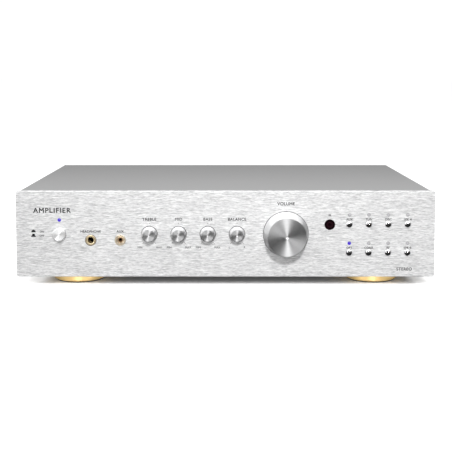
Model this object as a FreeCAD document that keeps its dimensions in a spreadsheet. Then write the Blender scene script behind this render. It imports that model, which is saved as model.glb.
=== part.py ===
"""An integrated stereo amplifier as a parametric FreeCAD document, in millimetres.

The row frame has +X to the listener's right, +Y towards the back and +Z up. Its origin is on the table,
under the middle of the amplifier. Every sub-part is a PartDesign body in one of three frames:

    PLAN   the row frame itself
    FRONT  +X right, +Y up and +Z out of the fascia; its origin is on the fascia's front face
    REAR   +X right as seen from behind, +Y up and +Z out of the rear panel's outer face

Heights in FRONT and REAR are measured from the table. All sizes come from the Dims sheet.
"""

import FreeCAD, Part
import math
import os
import types

import Sketcher

Vector = FreeCAD.Vector
doc = FreeCAD.newDocument("IntegratedAmplifier")

# ---------------------------------------------------------------- driving dimensions

DIMS = {
    # fascia
    "panel_width": 420.0,
    "panel_height": 86.5,
    "panel_thick": 8.0,
    "panel_lift": 9.5,  # the fascia's lower edge above the table
    "panel_corner": 1.6,
    "panel_chamfer": 0.3,
    # casing of folded steel
    "cover_width": 417.0,
    "cover_depth": 268.0,
    "cover_drop": 0.5,  # the cover's top below the fascia's top edge
    "cover_bend": 1.6,
    "metal": 1.2,
    "flange": 10.0,
    "rear_flange": 9.0,
    "tray_lift": 12.0,
    "tray_lip": 14.0,
    "sheet_gap": 0.3,
    "rear_recess": 1.5,
    "vent_width": 3.2,
    "vent_pitch": 8.0,
    "side_vent_height": 36.0,
    "side_vent_middle": 58.0,
    "rear_vent_height": 34.0,
    "rear_vent_middle": 54.0,
    "rear_vent_start": -125.0,
    "floor_vent_length": 30.0,
    "floor_vent_left": 30.0,
    "floor_vent_right": 100.0,
    "floor_vent_front": -42.0,
    "cover_screw_y": 105.0,
    "cover_screw_z": 19.0,
    "screw_radius": 1.5,
    "screw_head": 2.8,
    # feet
    "foot_x": 152.0,
    "foot_y": 97.0,
    "foot_radius": 27.0,
    "foot_edge": 1.2,
    "foot_recess": 7.0,
    "foot_screw": 2.0,
    "pad_radius": 24.7,
    "pad_height": 1.5,
    # rotary controls
    "volume_x": 60.7,
    "volume_base": 22.6,
    "volume_face": 18.9,
    "volume_reach": 21.0,
    "volume_pot_size": 26.0,
    "volume_pot_depth": 16.0,
    "volume_bush": 4.5,
    "tone_x": -76.3,
    "tone_pitch": 29.3,
    "tone_base": 7.8,
    "tone_face": 5.9,
    "tone_reach": 9.5,
    "tone_pot_size": 12.0,
    "tone_bush": 3.5,
    "knob_gap": 0.6,
    "volume_edge": 0.7,
    "tone_edge": 0.9,
    "bush_reach": 2.2,  # each bush ends this far inside the fascia's face
    "nut_rim": 2.0,
    "nut_thick": 2.4,
    "shaft_radius": 3.0,
    "running_gap": 0.05,
    # power button and indicator lights
    "power_x": -166.5,
    "power_radius": 6.6,
    "power_reach": 5.0,
    "power_skirt": 13.0,
    "power_stem": 2.4,
    "power_stem_end": 31.0,
    "power_light_rise": 14.3,
    "switch_front": 24.0,
    "switch_back": 62.0,
    "switch_width": 22.0,
    "switch_height": 18.0,
    "light_radius": 1.75,
    "light_dome": 0.5,
    # selector buttons
    "select_x": 124.3,
    "select_pitch": 19.5,
    "select_high": 62.4,
    "select_low": 33.7,
    "select_radius": 3.1,
    "select_dome": 1.5,
    "select_stand": 0.5,
    "select_flange": 4.3,
    "select_flange_z": 6.1,
    "select_light_rise": 9.8,
    "tact_size": 6.0,
    "tact_body": 3.5,
    "tact_stem": 4.2,
    "tact_travel": 0.7,
    # front sockets and the remote control window
    "jack_drop": 6.2,  # the sockets' centre line below the knobs'
    "phones_x": -135.2,
    "phones_bore": 3.25,
    "phones_rim": 5.1,
    "phones_depth": 26.0,
    "aux_x": -105.6,
    "aux_bore": 1.8,
    "aux_rim": 5.6,
    "aux_depth": 14.0,
    "remote_x": 104.6,
    "remote_radius": 5.3,
    "remote_height": 62.3,
    # boards
    "board_thick": 1.6,
    "pot_depth": 9.0,
    "main_board_rise": 7.0,
    "board_left": -72.0,
    "board_right": 196.0,
    "board_front": -70.0,
    "board_rear": 112.0,
    "board_inset": 6.0,
    # line and digital sockets
    "line_x": -170.0,
    "line_pitch": 18.0,
    "line_low": 38.0,
    "line_high": 60.0,
    "line_border": 10.0,
    "line_depth": 16.0,
    "digital_x": -105.0,
    "sleeve_radius": 4.15,
    "sleeve_inside": 3.4,
    "sleeve_reach": 9.5,
    "contact_radius": 1.65,
    "optical_size": 8.6,
    "optical_wall": 1.0,
    "optical_depth": 18.0,
    "optical_hinge": 4.2,  # the shutter's pin inside the rear panel's face
    # speaker terminals
    "terminal_x": 30.0,  # each speaker's plate from the rear panel's middle
    "terminal_pitch": 19.0,
    "terminal_low": 38.0,
    "terminal_high": 64.0,
    "plate_thick": 2.5,
    "post_radius": 3.0,
    "post_reach": 18.0,  # past the cover's rear edge
    "post_seat": 4.5,
    "post_collar": 5.6,
    "banana_bore": 2.05,
    "cap_radius": 6.5,
    "cap_mouth": 2.7,
    "flute_radius": 0.9,
    # mains inlet
    "inlet_x": 160.0,
    "inlet_height": 48.0,
    "inlet_width": 27.0,
    "inlet_tall": 19.5,
    "inlet_wall": 1.3,
    "inlet_depth": 17.0,
    "inlet_face": 3.0,
    "inlet_ear": 20.0,
    "pin_pitch": 7.0,
    # power supply and output stage
    "transformer_x": -140.0,
    "transformer_y": 25.0,
    "transformer_radius": 48.0,
    "transformer_hole": 17.0,
    "transformer_height": 42.0,
    "sink_left": -40.0,
    "sink_right": 100.0,
    "sink_face": 20.0,
    "sink_back": 58.0,
    "sink_height": 55.0,
    "sink_web": 6.0,
    "sink_fin": 2.4,
    "can_radius": 15.0,
    "can_height": 40.0,
    "can_x": -50.0,
    "can_pitch": 36.0,
    "can_y": -30.0,
    "relay_left": -52.0,
    "relay_right": -24.0,
    "relay_y": 88.0,
    "relay_height": 17.0,
    "cable_radius": 1.6,
}


def text_of(size):
    return size.text if isinstance(size, Size) else f"{size:g}"


def value_of(size):
    return size.value if isinstance(size, Size) else float(size)


class Size:
    """A length that knows both its value and the cells that it is worked out from."""

    def __init__(self, text, value):
        self.text = text
        self.value = value

    def joined(self, sign, other, value, swapped=False):
        left, right = (other, self) if swapped else (self, other)
        return Size(f"({text_of(left)} {sign} {text_of(right)})", value)

    def __add__(self, other):
        return self.joined("+", other, self.value + value_of(other))

    def __radd__(self, other):
        return self.joined("+", other, value_of(other) + self.value, swapped=True)

    def __sub__(self, other):
        return self.joined("-", other, self.value - value_of(other))

    def __rsub__(self, other):
        return self.joined("-", other, value_of(other) - self.value, swapped=True)

    def __mul__(self, other):
        return self.joined("*", other, self.value * value_of(other))

    def __rmul__(self, other):
        return self.joined("*", other, value_of(other) * self.value, swapped=True)

    def __truediv__(self, other):
        return self.joined("/", other, self.value / value_of(other))

    def __neg__(self):
        return Size(f"(-1 * {self.text})", -self.value)


def make_sheet():
    sheet = doc.addObject("Spreadsheet::Sheet", "Dims")
    for row, (alias, value) in enumerate(DIMS.items(), start=1):
        sheet.set(f"A{row}", alias)
        sheet.set(f"B{row}", f"{value:g}")
        sheet.setAlias(f"B{row}", alias)
    doc.recompute()
    return types.SimpleNamespace(**{a: Size(f"Dims.{a}", v) for a, v in DIMS.items()})


D = make_sheet()

# Sizes and places that follow from the driving dimensions.
TOTAL_DEPTH = D.volume_reach + D.panel_thick + D.cover_depth + D.post_reach
FRONT_Y = D.volume_reach - TOTAL_DEPTH / 2
COVER_FRONT = FRONT_Y + D.panel_thick
COVER_REAR = COVER_FRONT + D.cover_depth
REAR_Y = COVER_REAR - D.rear_recess
PANEL_TOP = D.panel_lift + D.panel_height
CONTROL_LINE = D.panel_lift + D.panel_height / 2
JACK_HEIGHT = CONTROL_LINE - D.jack_drop
COVER_TOP = PANEL_TOP - D.cover_drop
TRAY_TOP = D.tray_lift + D.metal
INNER_TOP = COVER_TOP - D.metal - D.sheet_gap
INNER_HALF = D.cover_width / 2 - D.metal - D.sheet_gap
CHANNEL_HALF = INNER_HALF - D.metal - D.sheet_gap
FRAME_BACK = -(D.panel_thick + D.metal)  # the inner frame's web, in FRONT
BOARD_FRONT = FRAME_BACK - D.pot_depth
BOARD_BACK = BOARD_FRONT - D.board_thick
TIP = D.post_reach + D.rear_recess  # the terminals' outer end, in REAR
AUX_NECK = D.aux_rim - 1.6
MAIN_BOARD_Z = TRAY_TOP + D.main_board_rise
BOARD_TOP = MAIN_BOARD_Z + D.board_thick
BOARD_SPOTS = [
    (x, y)
    for x in (
        D.board_left + D.board_inset,
        (D.board_left + D.board_right) / 2,
        D.board_right - D.board_inset,
    )
    for y in (D.board_front + D.board_inset, D.board_rear - D.board_inset)
]
TRANSFORMER_SPOT = (D.transformer_x, D.transformer_y)
COVER_SCREW_YS = (-D.cover_screw_y, 0, D.cover_screw_y)

TONE_NAMES = ("treble", "mid", "bass", "balance")
TONE_XS = [D.tone_x + i * D.tone_pitch for i in range(4)]
SELECT_NAMES = {
    "aux": (0, D.select_high),
    "tuner": (1, D.select_high),
    "disc": (2, D.select_high),
    "speaker_a": (3, D.select_high),
    "optical": (0, D.select_low),
    "coaxial": (1, D.select_low),
    "wireless": (2, D.select_low),
    "speaker_b": (3, D.select_low),
}
SELECT_SPOTS = [(D.select_x + i * D.select_pitch, y) for i, y in SELECT_NAMES.values()]
LIGHT_SPOTS = [(x, y + D.select_light_rise) for x, y in SELECT_SPOTS]
LIGHT_SPOTS.append((D.power_x, CONTROL_LINE + D.power_light_rise))
SOCKET_SPOTS = [
    (D.line_x + i * D.line_pitch, height)
    for i in range(3)
    for height in (D.line_low, D.line_high)
]
SOCKET_SPOTS.append((D.digital_x, D.line_low))
TERMINALS = {
    f"{speaker}_{side}_{pole}": (centre + shift, height)
    for speaker, centre in (("a", -D.terminal_x), ("b", D.terminal_x))
    for side, shift in (("left", -D.terminal_pitch / 2), ("right", D.terminal_pitch / 2))
    for pole, height in (("plus", D.terminal_high), ("minus", D.terminal_low))
}

# ---------------------------------------------------------------- frames and features

UPRIGHT = FreeCAD.Rotation(Vector(1, 0, 0), 90)
PLAN = (0, FreeCAD.Rotation())
FRONT = (FRONT_Y, UPRIGHT)
REAR = (REAR_Y, FreeCAD.Rotation(Vector(0, 0, 1), 180).multiply(UPRIGHT))
H_AXIS, V_AXIS = -1, -2
START, END, CENTRE = 1, 2, 3


def hold(sketch, kind, *where):
    """Adds a constraint whose last item is its size, bound to the sheet."""
    *where, size = where
    index = sketch.addConstraint(Sketcher.Constraint(kind, *where, value_of(size)))
    if isinstance(size, Size):
        sketch.setExpression(f"Constraints[{index}]", size.text)


def hold_point(sketch, geometry, end, x, y):
    """Holds a point of the sketch at x, y from the sketch's origin."""
    for kind, axis, size in (("DistanceX", V_AXIS, x), ("DistanceY", H_AXIS, y)):
        if abs(value_of(size)) < 1e-9:
            sketch.addConstraint(Sketcher.Constraint("PointOnObject", geometry, end, axis))
        else:
            hold(sketch, kind, H_AXIS, START, geometry, end, size)


def circle(x, y, radius):
    """Draws one circle."""

    def draw(sketch):
        centre = Vector(value_of(x), value_of(y), 0)
        index = sketch.addGeometry(Part.Circle(centre, Vector(0, 0, 1), value_of(radius)))
        hold(sketch, "Radius", index, radius)
        hold_point(sketch, index, CENTRE, x, y)

    return draw


def outline(*corners):
    """Draws a closed outline. A corner is (x, y), or (x, y, radius, (x, y)) where an arc of that radius
    leads to the next corner past the last point, which only says on which side the arc lies."""

    def draw(sketch):
        edges = []
        for here, there in zip(corners, corners[1:] + corners[:1]):
            start = Vector(value_of(here[0]), value_of(here[1]), 0)
            end = Vector(value_of(there[0]), value_of(there[1]), 0)
            if len(here) == 2:
                index = sketch.addGeometry(Part.LineSegment(start, end))
                edges.append((index, START, END))
                continue
            middle = Vector(value_of(here[3][0]), value_of(here[3][1]), 0)
            index = sketch.addGeometry(Part.Arc(start, middle, end))
            forward = sketch.Geometry[index].StartPoint.distanceToPoint(start) < 1e-6
            edges.append((index, START, END) if forward else (index, END, START))
            hold(sketch, "Radius", index, here[2])
        for k, (index, first, last) in enumerate(edges):
            after, after_first, _ = edges[(k + 1) % len(edges)]
            joint = Sketcher.Constraint("Coincident", index, last, after, after_first)
            sketch.addConstraint(joint)
            hold_point(sketch, index, first, corners[k][0], corners[k][1])

    return draw


def box(x0, y0, x1, y1):
    """Draws a rectangle between two opposite corners."""
    return outline((x0, y0), (x1, y0), (x1, y1), (x0, y1))


def box_at(x, y, width, height):
    """Draws a rectangle round its centre."""
    return box(x - width / 2, y - height / 2, x + width / 2, y + height / 2)


def dome_radius(radius, height):
    """The sphere's radius under a cap of that rim radius and height."""
    return (radius * radius + height * height) / (2 * height)


def dome_side(radius, height, top):
    """A point on the cap's profile, half way up its arc."""
    sphere = value_of(dome_radius(radius, height))
    half = math.asin(value_of(radius) / sphere) / 2
    return (sphere * math.sin(half), value_of(top) - sphere * (1 - math.cos(half)))


class Piece:
    """One sub-part: a PartDesign body that is built up feature by feature."""

    def __init__(self, label, frame):
        self.body = doc.addObject("PartDesign::Body", label)
        self.body.Label = label
        self.body.AllowCompound = True
        base_y, turn = frame
        self.body.Placement = FreeCAD.Placement(Vector(0, value_of(base_y), 0), turn)
        if isinstance(base_y, Size):
            self.body.setExpression("Placement.Base.y", base_y.text)
        PIECES.append(self)

    def sketch(self, role, shapes, shift=(0, 0, 0)):
        sketch = self.body.newObject("Sketcher::SketchObject", f"{self.body.Label}_sketch")
        planes = self.body.Origin.OriginFeatures
        plane = next(p for p in planes if p.Role == role)
        sketch.AttachmentSupport = [(plane, "")]
        sketch.MapMode = "FlatFace"
        sketch.AttachmentOffset = FreeCAD.Placement(
            Vector(*(value_of(s) for s in shift)), FreeCAD.Rotation()
        )
        for axis, size in zip("xyz", shift):
            if isinstance(size, Size):
                sketch.setExpression(f"AttachmentOffset.Base.{axis}", size.text)
        for draw in shapes:
            draw(sketch)
        return sketch

    def feature(self, kind, sketch, **values):
        made = self.body.newObject(f"PartDesign::{kind}", f"{self.body.Label}_{kind.lower()}")
        made.Profile = sketch
        for name, value in values.items():
            if isinstance(value, Size):
                made.setExpression(name, value.text)
            else:
                setattr(made, name, value)
        sketch.Visibility = False
        return self

    def add(self, low, high, *shapes):
        """Adds material over these shapes of the XY plane, from low to high along Z."""
        return self.feature("Pad", self.sketch("XY_Plane", shapes, (0, 0, low)), Length=high - low)

    def cut(self, low, high, *shapes):
        """Takes material away over these shapes, from low to high along Z."""
        sketch = self.sketch("XY_Plane", shapes, (0, 0, low))
        return self.feature("Pocket", sketch, Length=high - low, Reversed=True)

    def add_along_x(self, low, high, *shapes):
        """Adds material over shapes of the YZ plane, from low to high along X."""
        return self.feature("Pad", self.sketch("YZ_Plane", shapes, (0, 0, low)), Length=high - low)

    def cut_along_x(self, low, high, *shapes):
        """Takes material away over shapes of the YZ plane, from low to high along X."""
        sketch = self.sketch("YZ_Plane", shapes, (0, 0, low))
        return self.feature("Pocket", sketch, Length=high - low, Reversed=True)

    def add_along_y(self, low, high, *shapes):
        """Adds material over shapes of the XZ plane, from low to high along Y."""
        sketch = self.sketch("XZ_Plane", shapes, (0, 0, -high))
        return self.feature("Pad", sketch, Length=high - low)

    def turn(self, *corners, at=(0, 0)):
        """Adds a turned solid: corners are (radius, z), and its axis is along Z through at."""
        x, y = at
        sketch = self.sketch("XZ_Plane", [outline(*corners)], (x, 0, -1 * y))
        return self.feature("Revolution", sketch, ReferenceAxis=(sketch, ["V_Axis"]), Angle=360.0)

    def pierce(self, face_y, inward, *shapes):
        """Cuts these shapes of the XZ plane through the sheet whose face is at face_y; inward is the
        sign of the way into the sheet along Y."""
        sketch = self.sketch("XZ_Plane", shapes, (0, 0, -1 * face_y))
        return self.feature("Pocket", sketch, Length=D.metal + 0.5, Reversed=inward < 0)

    def pattern(self, axis, step, count):
        """Repeats the last feature count times in all, a step apart along X_Axis, Y_Axis or Z_Axis."""
        doc.recompute()
        original = self.body.Tip
        made = self.body.newObject("PartDesign::LinearPattern", f"{self.body.Label}_pattern")
        made.Originals = [original]
        lines = self.body.Origin.OriginFeatures
        made.Direction = (next(a for a in lines if a.Role == axis), [""])
        made.setExpression("Length", text_of(step * (count - 1)))
        made.Occurrences = count
        self.body.Tip = made
        return self

    def dress(self, kind, size, wanted):
        """Rounds (Fillet) or bevels (Chamfer) the edges for which wanted(edge) is true."""
        doc.recompute()
        last = self.body.Tip
        names = [f"Edge{k}" for k, e in enumerate(last.Shape.Edges, start=1) if wanted(e)]
        if not names:
            raise RuntimeError(f"{self.body.Label}: no edge to dress")
        made = self.body.newObject(f"PartDesign::{kind}", f"{self.body.Label}_{kind.lower()}")
        made.Base = (last, names)
        prop = "Radius" if kind == "Fillet" else "Size"
        if isinstance(size, Size):
            made.setExpression(prop, size.text)
        else:
            setattr(made, prop, size)
        return self


PIECES = []


def rim(radius, z):
    """Picks the round edges of that radius at that height."""

    def wanted(edge):
        curve = edge.Curve
        return (
            isinstance(curve, Part.Circle)
            and abs(curve.Radius - value_of(radius)) < 1e-3
            and abs(curve.Center.z - value_of(z)) < 1e-3
        )

    return wanted


def on_level(z):
    """Picks every edge that lies in the plane at that height."""

    def wanted(edge):
        return all(abs(v.Point.z - value_of(z)) < 1e-6 for v in edge.Vertexes)

    return wanted


def along(direction, x, z=None):
    """Picks straight edges along a direction, x to either side of the origin and at height z."""

    def wanted(edge):
        if not isinstance(edge.Curve, Part.Line):
            return False
        if abs(abs(edge.Curve.Direction.dot(direction)) - 1) > 1e-6:
            return False
        middle = edge.CenterOfMass
        stated = [(middle.x, x)] if z is None else [(middle.x, x), (middle.z, z)]
        return all(abs(abs(place) - value_of(size)) < 1e-3 for place, size in stated)

    return wanted


# ---------------------------------------------------------------- casing


def mirrored(*spots):
    """Each x, y with both signs of x and both signs of y."""
    return [(sx * x, sy * y) for x, y in spots for sx in (-1, 1) for sy in (-1, 1)]


def channel_profile(face, back, low, high):
    """A folded channel's section: a web at face and two flanges that reach back."""
    step = D.metal if value_of(back) > value_of(face) else -D.metal
    return outline(
        (face, low),
        (back, low),
        (back, low + D.metal),
        (face + step, low + D.metal),
        (face + step, high - D.metal),
        (back, high - D.metal),
        (back, high),
        (face, high),
    )


def make_front_panel():
    half = D.panel_width / 2
    through = (-D.panel_thick, 0)
    hole_gap = 0.3
    button_gap = 0.2
    light_gap = 0.1
    nut_room = D.nut_rim + 0.7
    panel = Piece("front_panel", FRONT)
    panel.add(*through, box(-half, D.panel_lift, half, PANEL_TOP))
    panel.dress("Fillet", D.panel_corner, along(Vector(0, 0, 1), x=half))
    panel.dress("Chamfer", D.panel_chamfer, on_level(0))
    panel.cut(*through, circle(D.volume_x, CONTROL_LINE, D.volume_bush + nut_room))
    panel.cut(*through, *(circle(x, CONTROL_LINE, D.tone_bush + nut_room) for x in TONE_XS))
    panel.cut(*through, circle(D.power_x, CONTROL_LINE, D.power_radius + hole_gap))
    panel.cut(*through, *(circle(x, y, D.select_radius + button_gap) for x, y in SELECT_SPOTS))
    flange_room = D.select_flange + hole_gap
    flange_seat = light_gap - D.select_flange_z
    panel.cut(-D.panel_thick, flange_seat, *(circle(x, y, flange_room) for x, y in SELECT_SPOTS))
    panel.cut(*through, *(circle(x, y, D.light_radius + light_gap) for x, y in LIGHT_SPOTS))
    panel.cut(
        *through,
        circle(D.phones_x, JACK_HEIGHT, D.phones_rim + light_gap),
        circle(D.aux_x, JACK_HEIGHT, D.aux_rim + light_gap),
        circle(D.remote_x, D.remote_height, D.remote_radius + light_gap),
    )


def make_front_frame():
    """The steel channel behind the fascia that carries the controls."""
    hole_gap = 0.1
    power_gap = 0.5
    select_lap, window_lap = 0.7, 1.0
    frame = Piece("front_frame", PLAN)
    section = channel_profile(COVER_FRONT, COVER_FRONT + D.flange, TRAY_TOP, INNER_TOP)
    frame.add_along_x(-CHANNEL_HALF, CHANNEL_HALF, section)
    holes = [(D.volume_x, CONTROL_LINE, D.volume_bush + hole_gap)]
    holes += [(x, CONTROL_LINE, D.tone_bush + hole_gap) for x in TONE_XS]
    holes += [(D.power_x, CONTROL_LINE, D.power_radius + power_gap)]
    holes += [(x, y, D.select_radius - select_lap) for x, y in SELECT_SPOTS]
    holes += [(x, y, D.light_radius + hole_gap) for x, y in LIGHT_SPOTS]
    holes += [(D.phones_x, JACK_HEIGHT, D.phones_rim + hole_gap)]
    holes += [(D.aux_x, JACK_HEIGHT, AUX_NECK + hole_gap)]
    holes += [(D.remote_x, D.remote_height, D.remote_radius - window_lap)]
    frame.pierce(COVER_FRONT, 1, *(circle(x, y, radius) for x, y, radius in holes))


def make_base_tray():
    """The steel floor: a lip up each side, cooling slots and the feet's screw holes."""
    outer = INNER_HALF
    inner = outer - D.metal
    lip_top = D.tray_lift + D.tray_lip
    screw_gap = 0.1
    vents = 10
    tray = Piece("base_tray", PLAN)
    section = outline(
        (-outer, D.tray_lift),
        (outer, D.tray_lift),
        (outer, lip_top),
        (inner, lip_top),
        (inner, TRAY_TOP),
        (-inner, TRAY_TOP),
        (-inner, lip_top),
        (-outer, lip_top),
    )
    tray.add_along_y(COVER_FRONT, REAR_Y - D.metal, section)
    feet = mirrored((D.foot_x, D.foot_y))
    tray.cut(D.tray_lift, TRAY_TOP, *(circle(x, y, D.foot_screw + screw_gap) for x, y in feet))
    for x in (D.floor_vent_left, D.floor_vent_right):
        slot = box_at(x, D.floor_vent_front, D.floor_vent_length, D.vent_width)
        tray.cut(D.tray_lift, TRAY_TOP, slot)
        tray.pattern("Y_Axis", D.vent_pitch, vents)


def make_rear_panel():
    """The steel channel at the back, cut out for every connector."""
    round_hole = 5.0
    gap = 0.3
    vents = 7
    panel = Piece("rear_panel", PLAN)
    section = channel_profile(REAR_Y, REAR_Y - D.rear_flange, TRAY_TOP, INNER_TOP)
    panel.add_along_x(-CHANNEL_HALF, CHANNEL_HALF, section)
    holes = [circle(-1 * x, y, round_hole) for x, y in SOCKET_SPOTS]
    holes += [circle(-1 * x, y, round_hole) for x, y in TERMINALS.values()]
    optical = D.optical_size + 2 * D.optical_wall + gap
    holes.append(box_at(-1 * D.digital_x, D.line_high, optical, optical))
    inlet = (D.inlet_width + gap, D.inlet_tall + gap)
    holes.append(box_at(-1 * D.inlet_x, D.inlet_height, *inlet))
    panel.pierce(REAR_Y, -1, *holes)
    slot = box_at(D.rear_vent_start, D.rear_vent_middle, D.vent_width, D.rear_vent_height)
    panel.pierce(REAR_Y, -1, slot)
    panel.pattern("X_Axis", D.vent_pitch, vents)


def make_top_cover():
    """The folded lid: top and both sides in one sheet, with cooling slots in each side."""
    half = D.cover_width / 2
    inner = half - D.metal
    under = COVER_TOP - D.metal
    vents = 18
    first = -D.vent_pitch * (vents - 1) / 2
    cover = Piece("top_cover", PLAN)
    section = outline(
        (-half, D.tray_lift),
        (-half, COVER_TOP),
        (half, COVER_TOP),
        (half, D.tray_lift),
        (inner, D.tray_lift),
        (inner, under),
        (-inner, under),
        (-inner, D.tray_lift),
    )
    cover.add_along_y(COVER_FRONT, COVER_REAR, section)
    cover.dress("Fillet", D.cover_bend, along(Vector(0, 1, 0), x=half, z=COVER_TOP))
    cover.dress("Fillet", D.cover_bend - D.metal, along(Vector(0, 1, 0), x=inner, z=under))
    screw_room = D.screw_radius + 0.2
    screws = [circle(y, D.cover_screw_z, screw_room) for y in COVER_SCREW_YS]
    slot = box_at(first, D.side_vent_middle, D.vent_width, D.side_vent_height)
    for low, high in ((-half, -inner), (inner, half)):
        cover.cut_along_x(low, high, *screws)
        cover.cut_along_x(low, high, slot)
        cover.pattern("Y_Axis", D.vent_pitch, vents)


def make_feet():
    """Four gold-plated feet under the tray, each on a black rubber ring."""
    feet = Piece("feet", PLAN)
    pads = Piece("foot_pads", PLAN)
    outer = D.foot_radius
    neck = outer - 0.7
    low, high = D.pad_height, D.tray_lift
    groove_low, groove_high = high - 2.4, high - 1.7
    floor = low + 3.0
    screw_room = D.foot_screw + 0.05
    pad_edge = 0.5
    for at in mirrored((D.foot_x, D.foot_y)):
        feet.turn(
            (D.foot_recess, low),
            (outer - D.foot_edge, low),
            (outer, low + D.foot_edge),
            (outer, groove_low),
            (neck, groove_high),
            (neck, high),
            (screw_room, high),
            (screw_room, floor),
            (D.foot_recess, floor),
            at=at,
        )
        pads.turn(
            (D.foot_recess, 0),
            (D.pad_radius - pad_edge, 0),
            (D.pad_radius, pad_edge),
            (D.pad_radius, low),
            (D.foot_recess, low),
            at=at,
        )


# ---------------------------------------------------------------- rotary controls


def make_knob(name, x, base, face, reach, edge, shaft_back):
    """A turned knob with a pointer notch in its face's rim, and the shaft that it is pushed onto."""
    at = (x, CONTROL_LINE)
    socket_share = 0.72  # of the knob's reach
    dish_share = 0.02  # of the face's radius
    shaft_end_gap = 0.3
    socket = reach * socket_share
    bore = D.shaft_radius + 0.02
    knob = Piece(f"{name}_knob", FRONT)
    knob.turn(
        (bore, D.knob_gap),
        (base - edge, D.knob_gap),
        (base, D.knob_gap + edge),
        (base, D.knob_gap + 3 * edge),
        (face + edge, reach - edge),
        (face, reach),
        (0, reach - dish_share * face),
        (0, socket),
        (bore, socket),
        at=at,
    )
    notch_half = 0.022 * base + 0.12
    notch_depth = 0.6
    notch_start = CONTROL_LINE + 0.83 * face
    past = 1.0
    notch_end = CONTROL_LINE + face + edge + past
    notch = box(x - notch_half, notch_start, x + notch_half, notch_end)
    knob.cut(reach - notch_depth, reach + past, notch)
    shaft = Piece(f"{name}_shaft", FRONT)
    shaft.add(shaft_back, socket - shaft_end_gap, circle(*at, D.shaft_radius))


def make_pot(pots, x, size, bush, pot_back, shaft_back):
    """A potentiometer's body and threaded bush, bored for its shaft."""
    end_gap = 0.3
    bore = circle(x, CONTROL_LINE, D.shaft_radius + D.running_gap)
    pots.add(pot_back, FRAME_BACK, box_at(x, CONTROL_LINE, size, size))
    pots.add(FRAME_BACK, -D.bush_reach, circle(x, CONTROL_LINE, bush))
    pots.cut(shaft_back - end_gap, -D.bush_reach, bore)


def make_rotary_controls():
    pots = Piece("potentiometers", FRONT)
    shaft_start = 2.0
    volume_back = FRAME_BACK - D.volume_pot_depth
    volume_shaft = volume_back + shaft_start
    volume = (D.volume_base, D.volume_face, D.volume_reach, D.volume_edge)
    make_knob("volume", D.volume_x, *volume, volume_shaft)
    make_pot(pots, D.volume_x, D.volume_pot_size, D.volume_bush, volume_back, volume_shaft)
    tone_shaft = BOARD_FRONT + shaft_start
    tone = (D.tone_base, D.tone_face, D.tone_reach, D.tone_edge)
    for name, x in zip(TONE_NAMES, TONE_XS):
        make_knob(name, x, *tone, tone_shaft)
        make_pot(pots, x, D.tone_pot_size, D.tone_bush, BOARD_FRONT, tone_shaft)


# ---------------------------------------------------------------- buttons, lights and front sockets


def make_power_button():
    """The latching mains switch and its metal button, drawn latched in."""
    at = (D.power_x, CONTROL_LINE)
    edge = 0.9
    button = Piece("power_button", FRONT)
    button.turn(
        (0, -D.power_stem_end),
        (D.power_stem, -D.power_stem_end),
        (D.power_stem, -D.power_skirt),
        (D.power_radius, -D.power_skirt),
        (D.power_radius, D.power_reach - edge),
        (D.power_radius - edge, D.power_reach),
        (0, D.power_reach),
        at=at,
    )
    half = D.switch_width / 2
    bracket = (2.0 - D.switch_back, 12.0 - D.switch_back)
    stem_gap, stem_travel = 0.2, 3.0
    switch = Piece("power_switch", FRONT)
    switch.add(-D.switch_back, -D.switch_front, box_at(*at, D.switch_width, D.switch_height))
    foot = box(D.power_x - half, TRAY_TOP, D.power_x + half, CONTROL_LINE - D.switch_height / 2)
    switch.add(*bracket, foot)
    stem_room = circle(*at, D.power_stem + stem_gap)
    switch.cut(-D.power_stem_end - stem_travel, -D.switch_front, stem_room)


def make_select_buttons():
    """Eight domed push buttons, each in front of its own tact switch."""
    tacts = Piece("tact_switches", FRONT)
    stem_front = BOARD_FRONT + D.tact_stem
    top = D.select_stand + D.select_dome
    sphere = dome_radius(D.select_radius, D.select_dome)
    side = dome_side(D.select_radius, D.select_dome, top)
    plunger, tact_stem = 2.0, 1.7
    back = stem_front + D.tact_travel
    flange_back = -1.0 - D.select_flange_z
    for name, at in zip(SELECT_NAMES, SELECT_SPOTS):
        button = Piece(f"{name}_button", FRONT)
        button.turn(
            (0, back),
            (plunger, back),
            (plunger, flange_back),
            (D.select_flange, flange_back),
            (D.select_flange, -D.select_flange_z),
            (D.select_radius, -D.select_flange_z),
            (D.select_radius, D.select_stand, sphere, side),
            (0, top),
            at=at,
        )
        tacts.add(BOARD_FRONT, BOARD_FRONT + D.tact_body, box_at(*at, D.tact_size, D.tact_size))
        tacts.add(BOARD_FRONT + D.tact_body, stem_front, circle(*at, tact_stem))


def make_light(lights, at):
    """A light guide with a domed tip, from its diode on the control board to the fascia."""
    stand = 0.1
    top = stand + D.light_dome
    side = dome_side(D.light_radius, D.light_dome, top)
    lights.turn(
        (0, BOARD_FRONT),
        (D.light_radius, BOARD_FRONT),
        (D.light_radius, stand, dome_radius(D.light_radius, D.light_dome), side),
        (0, top),
        at=at,
    )


def make_lights():
    """The power light and one selector's light are lit; the others aren't."""
    lit = Piece("lights_on", FRONT)
    unlit = Piece("lights_off", FRONT)
    make_light(lit, LIGHT_SPOTS[-1])
    for name, at in zip(SELECT_NAMES, LIGHT_SPOTS):
        make_light(lit if name == "optical" else unlit, at)


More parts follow.
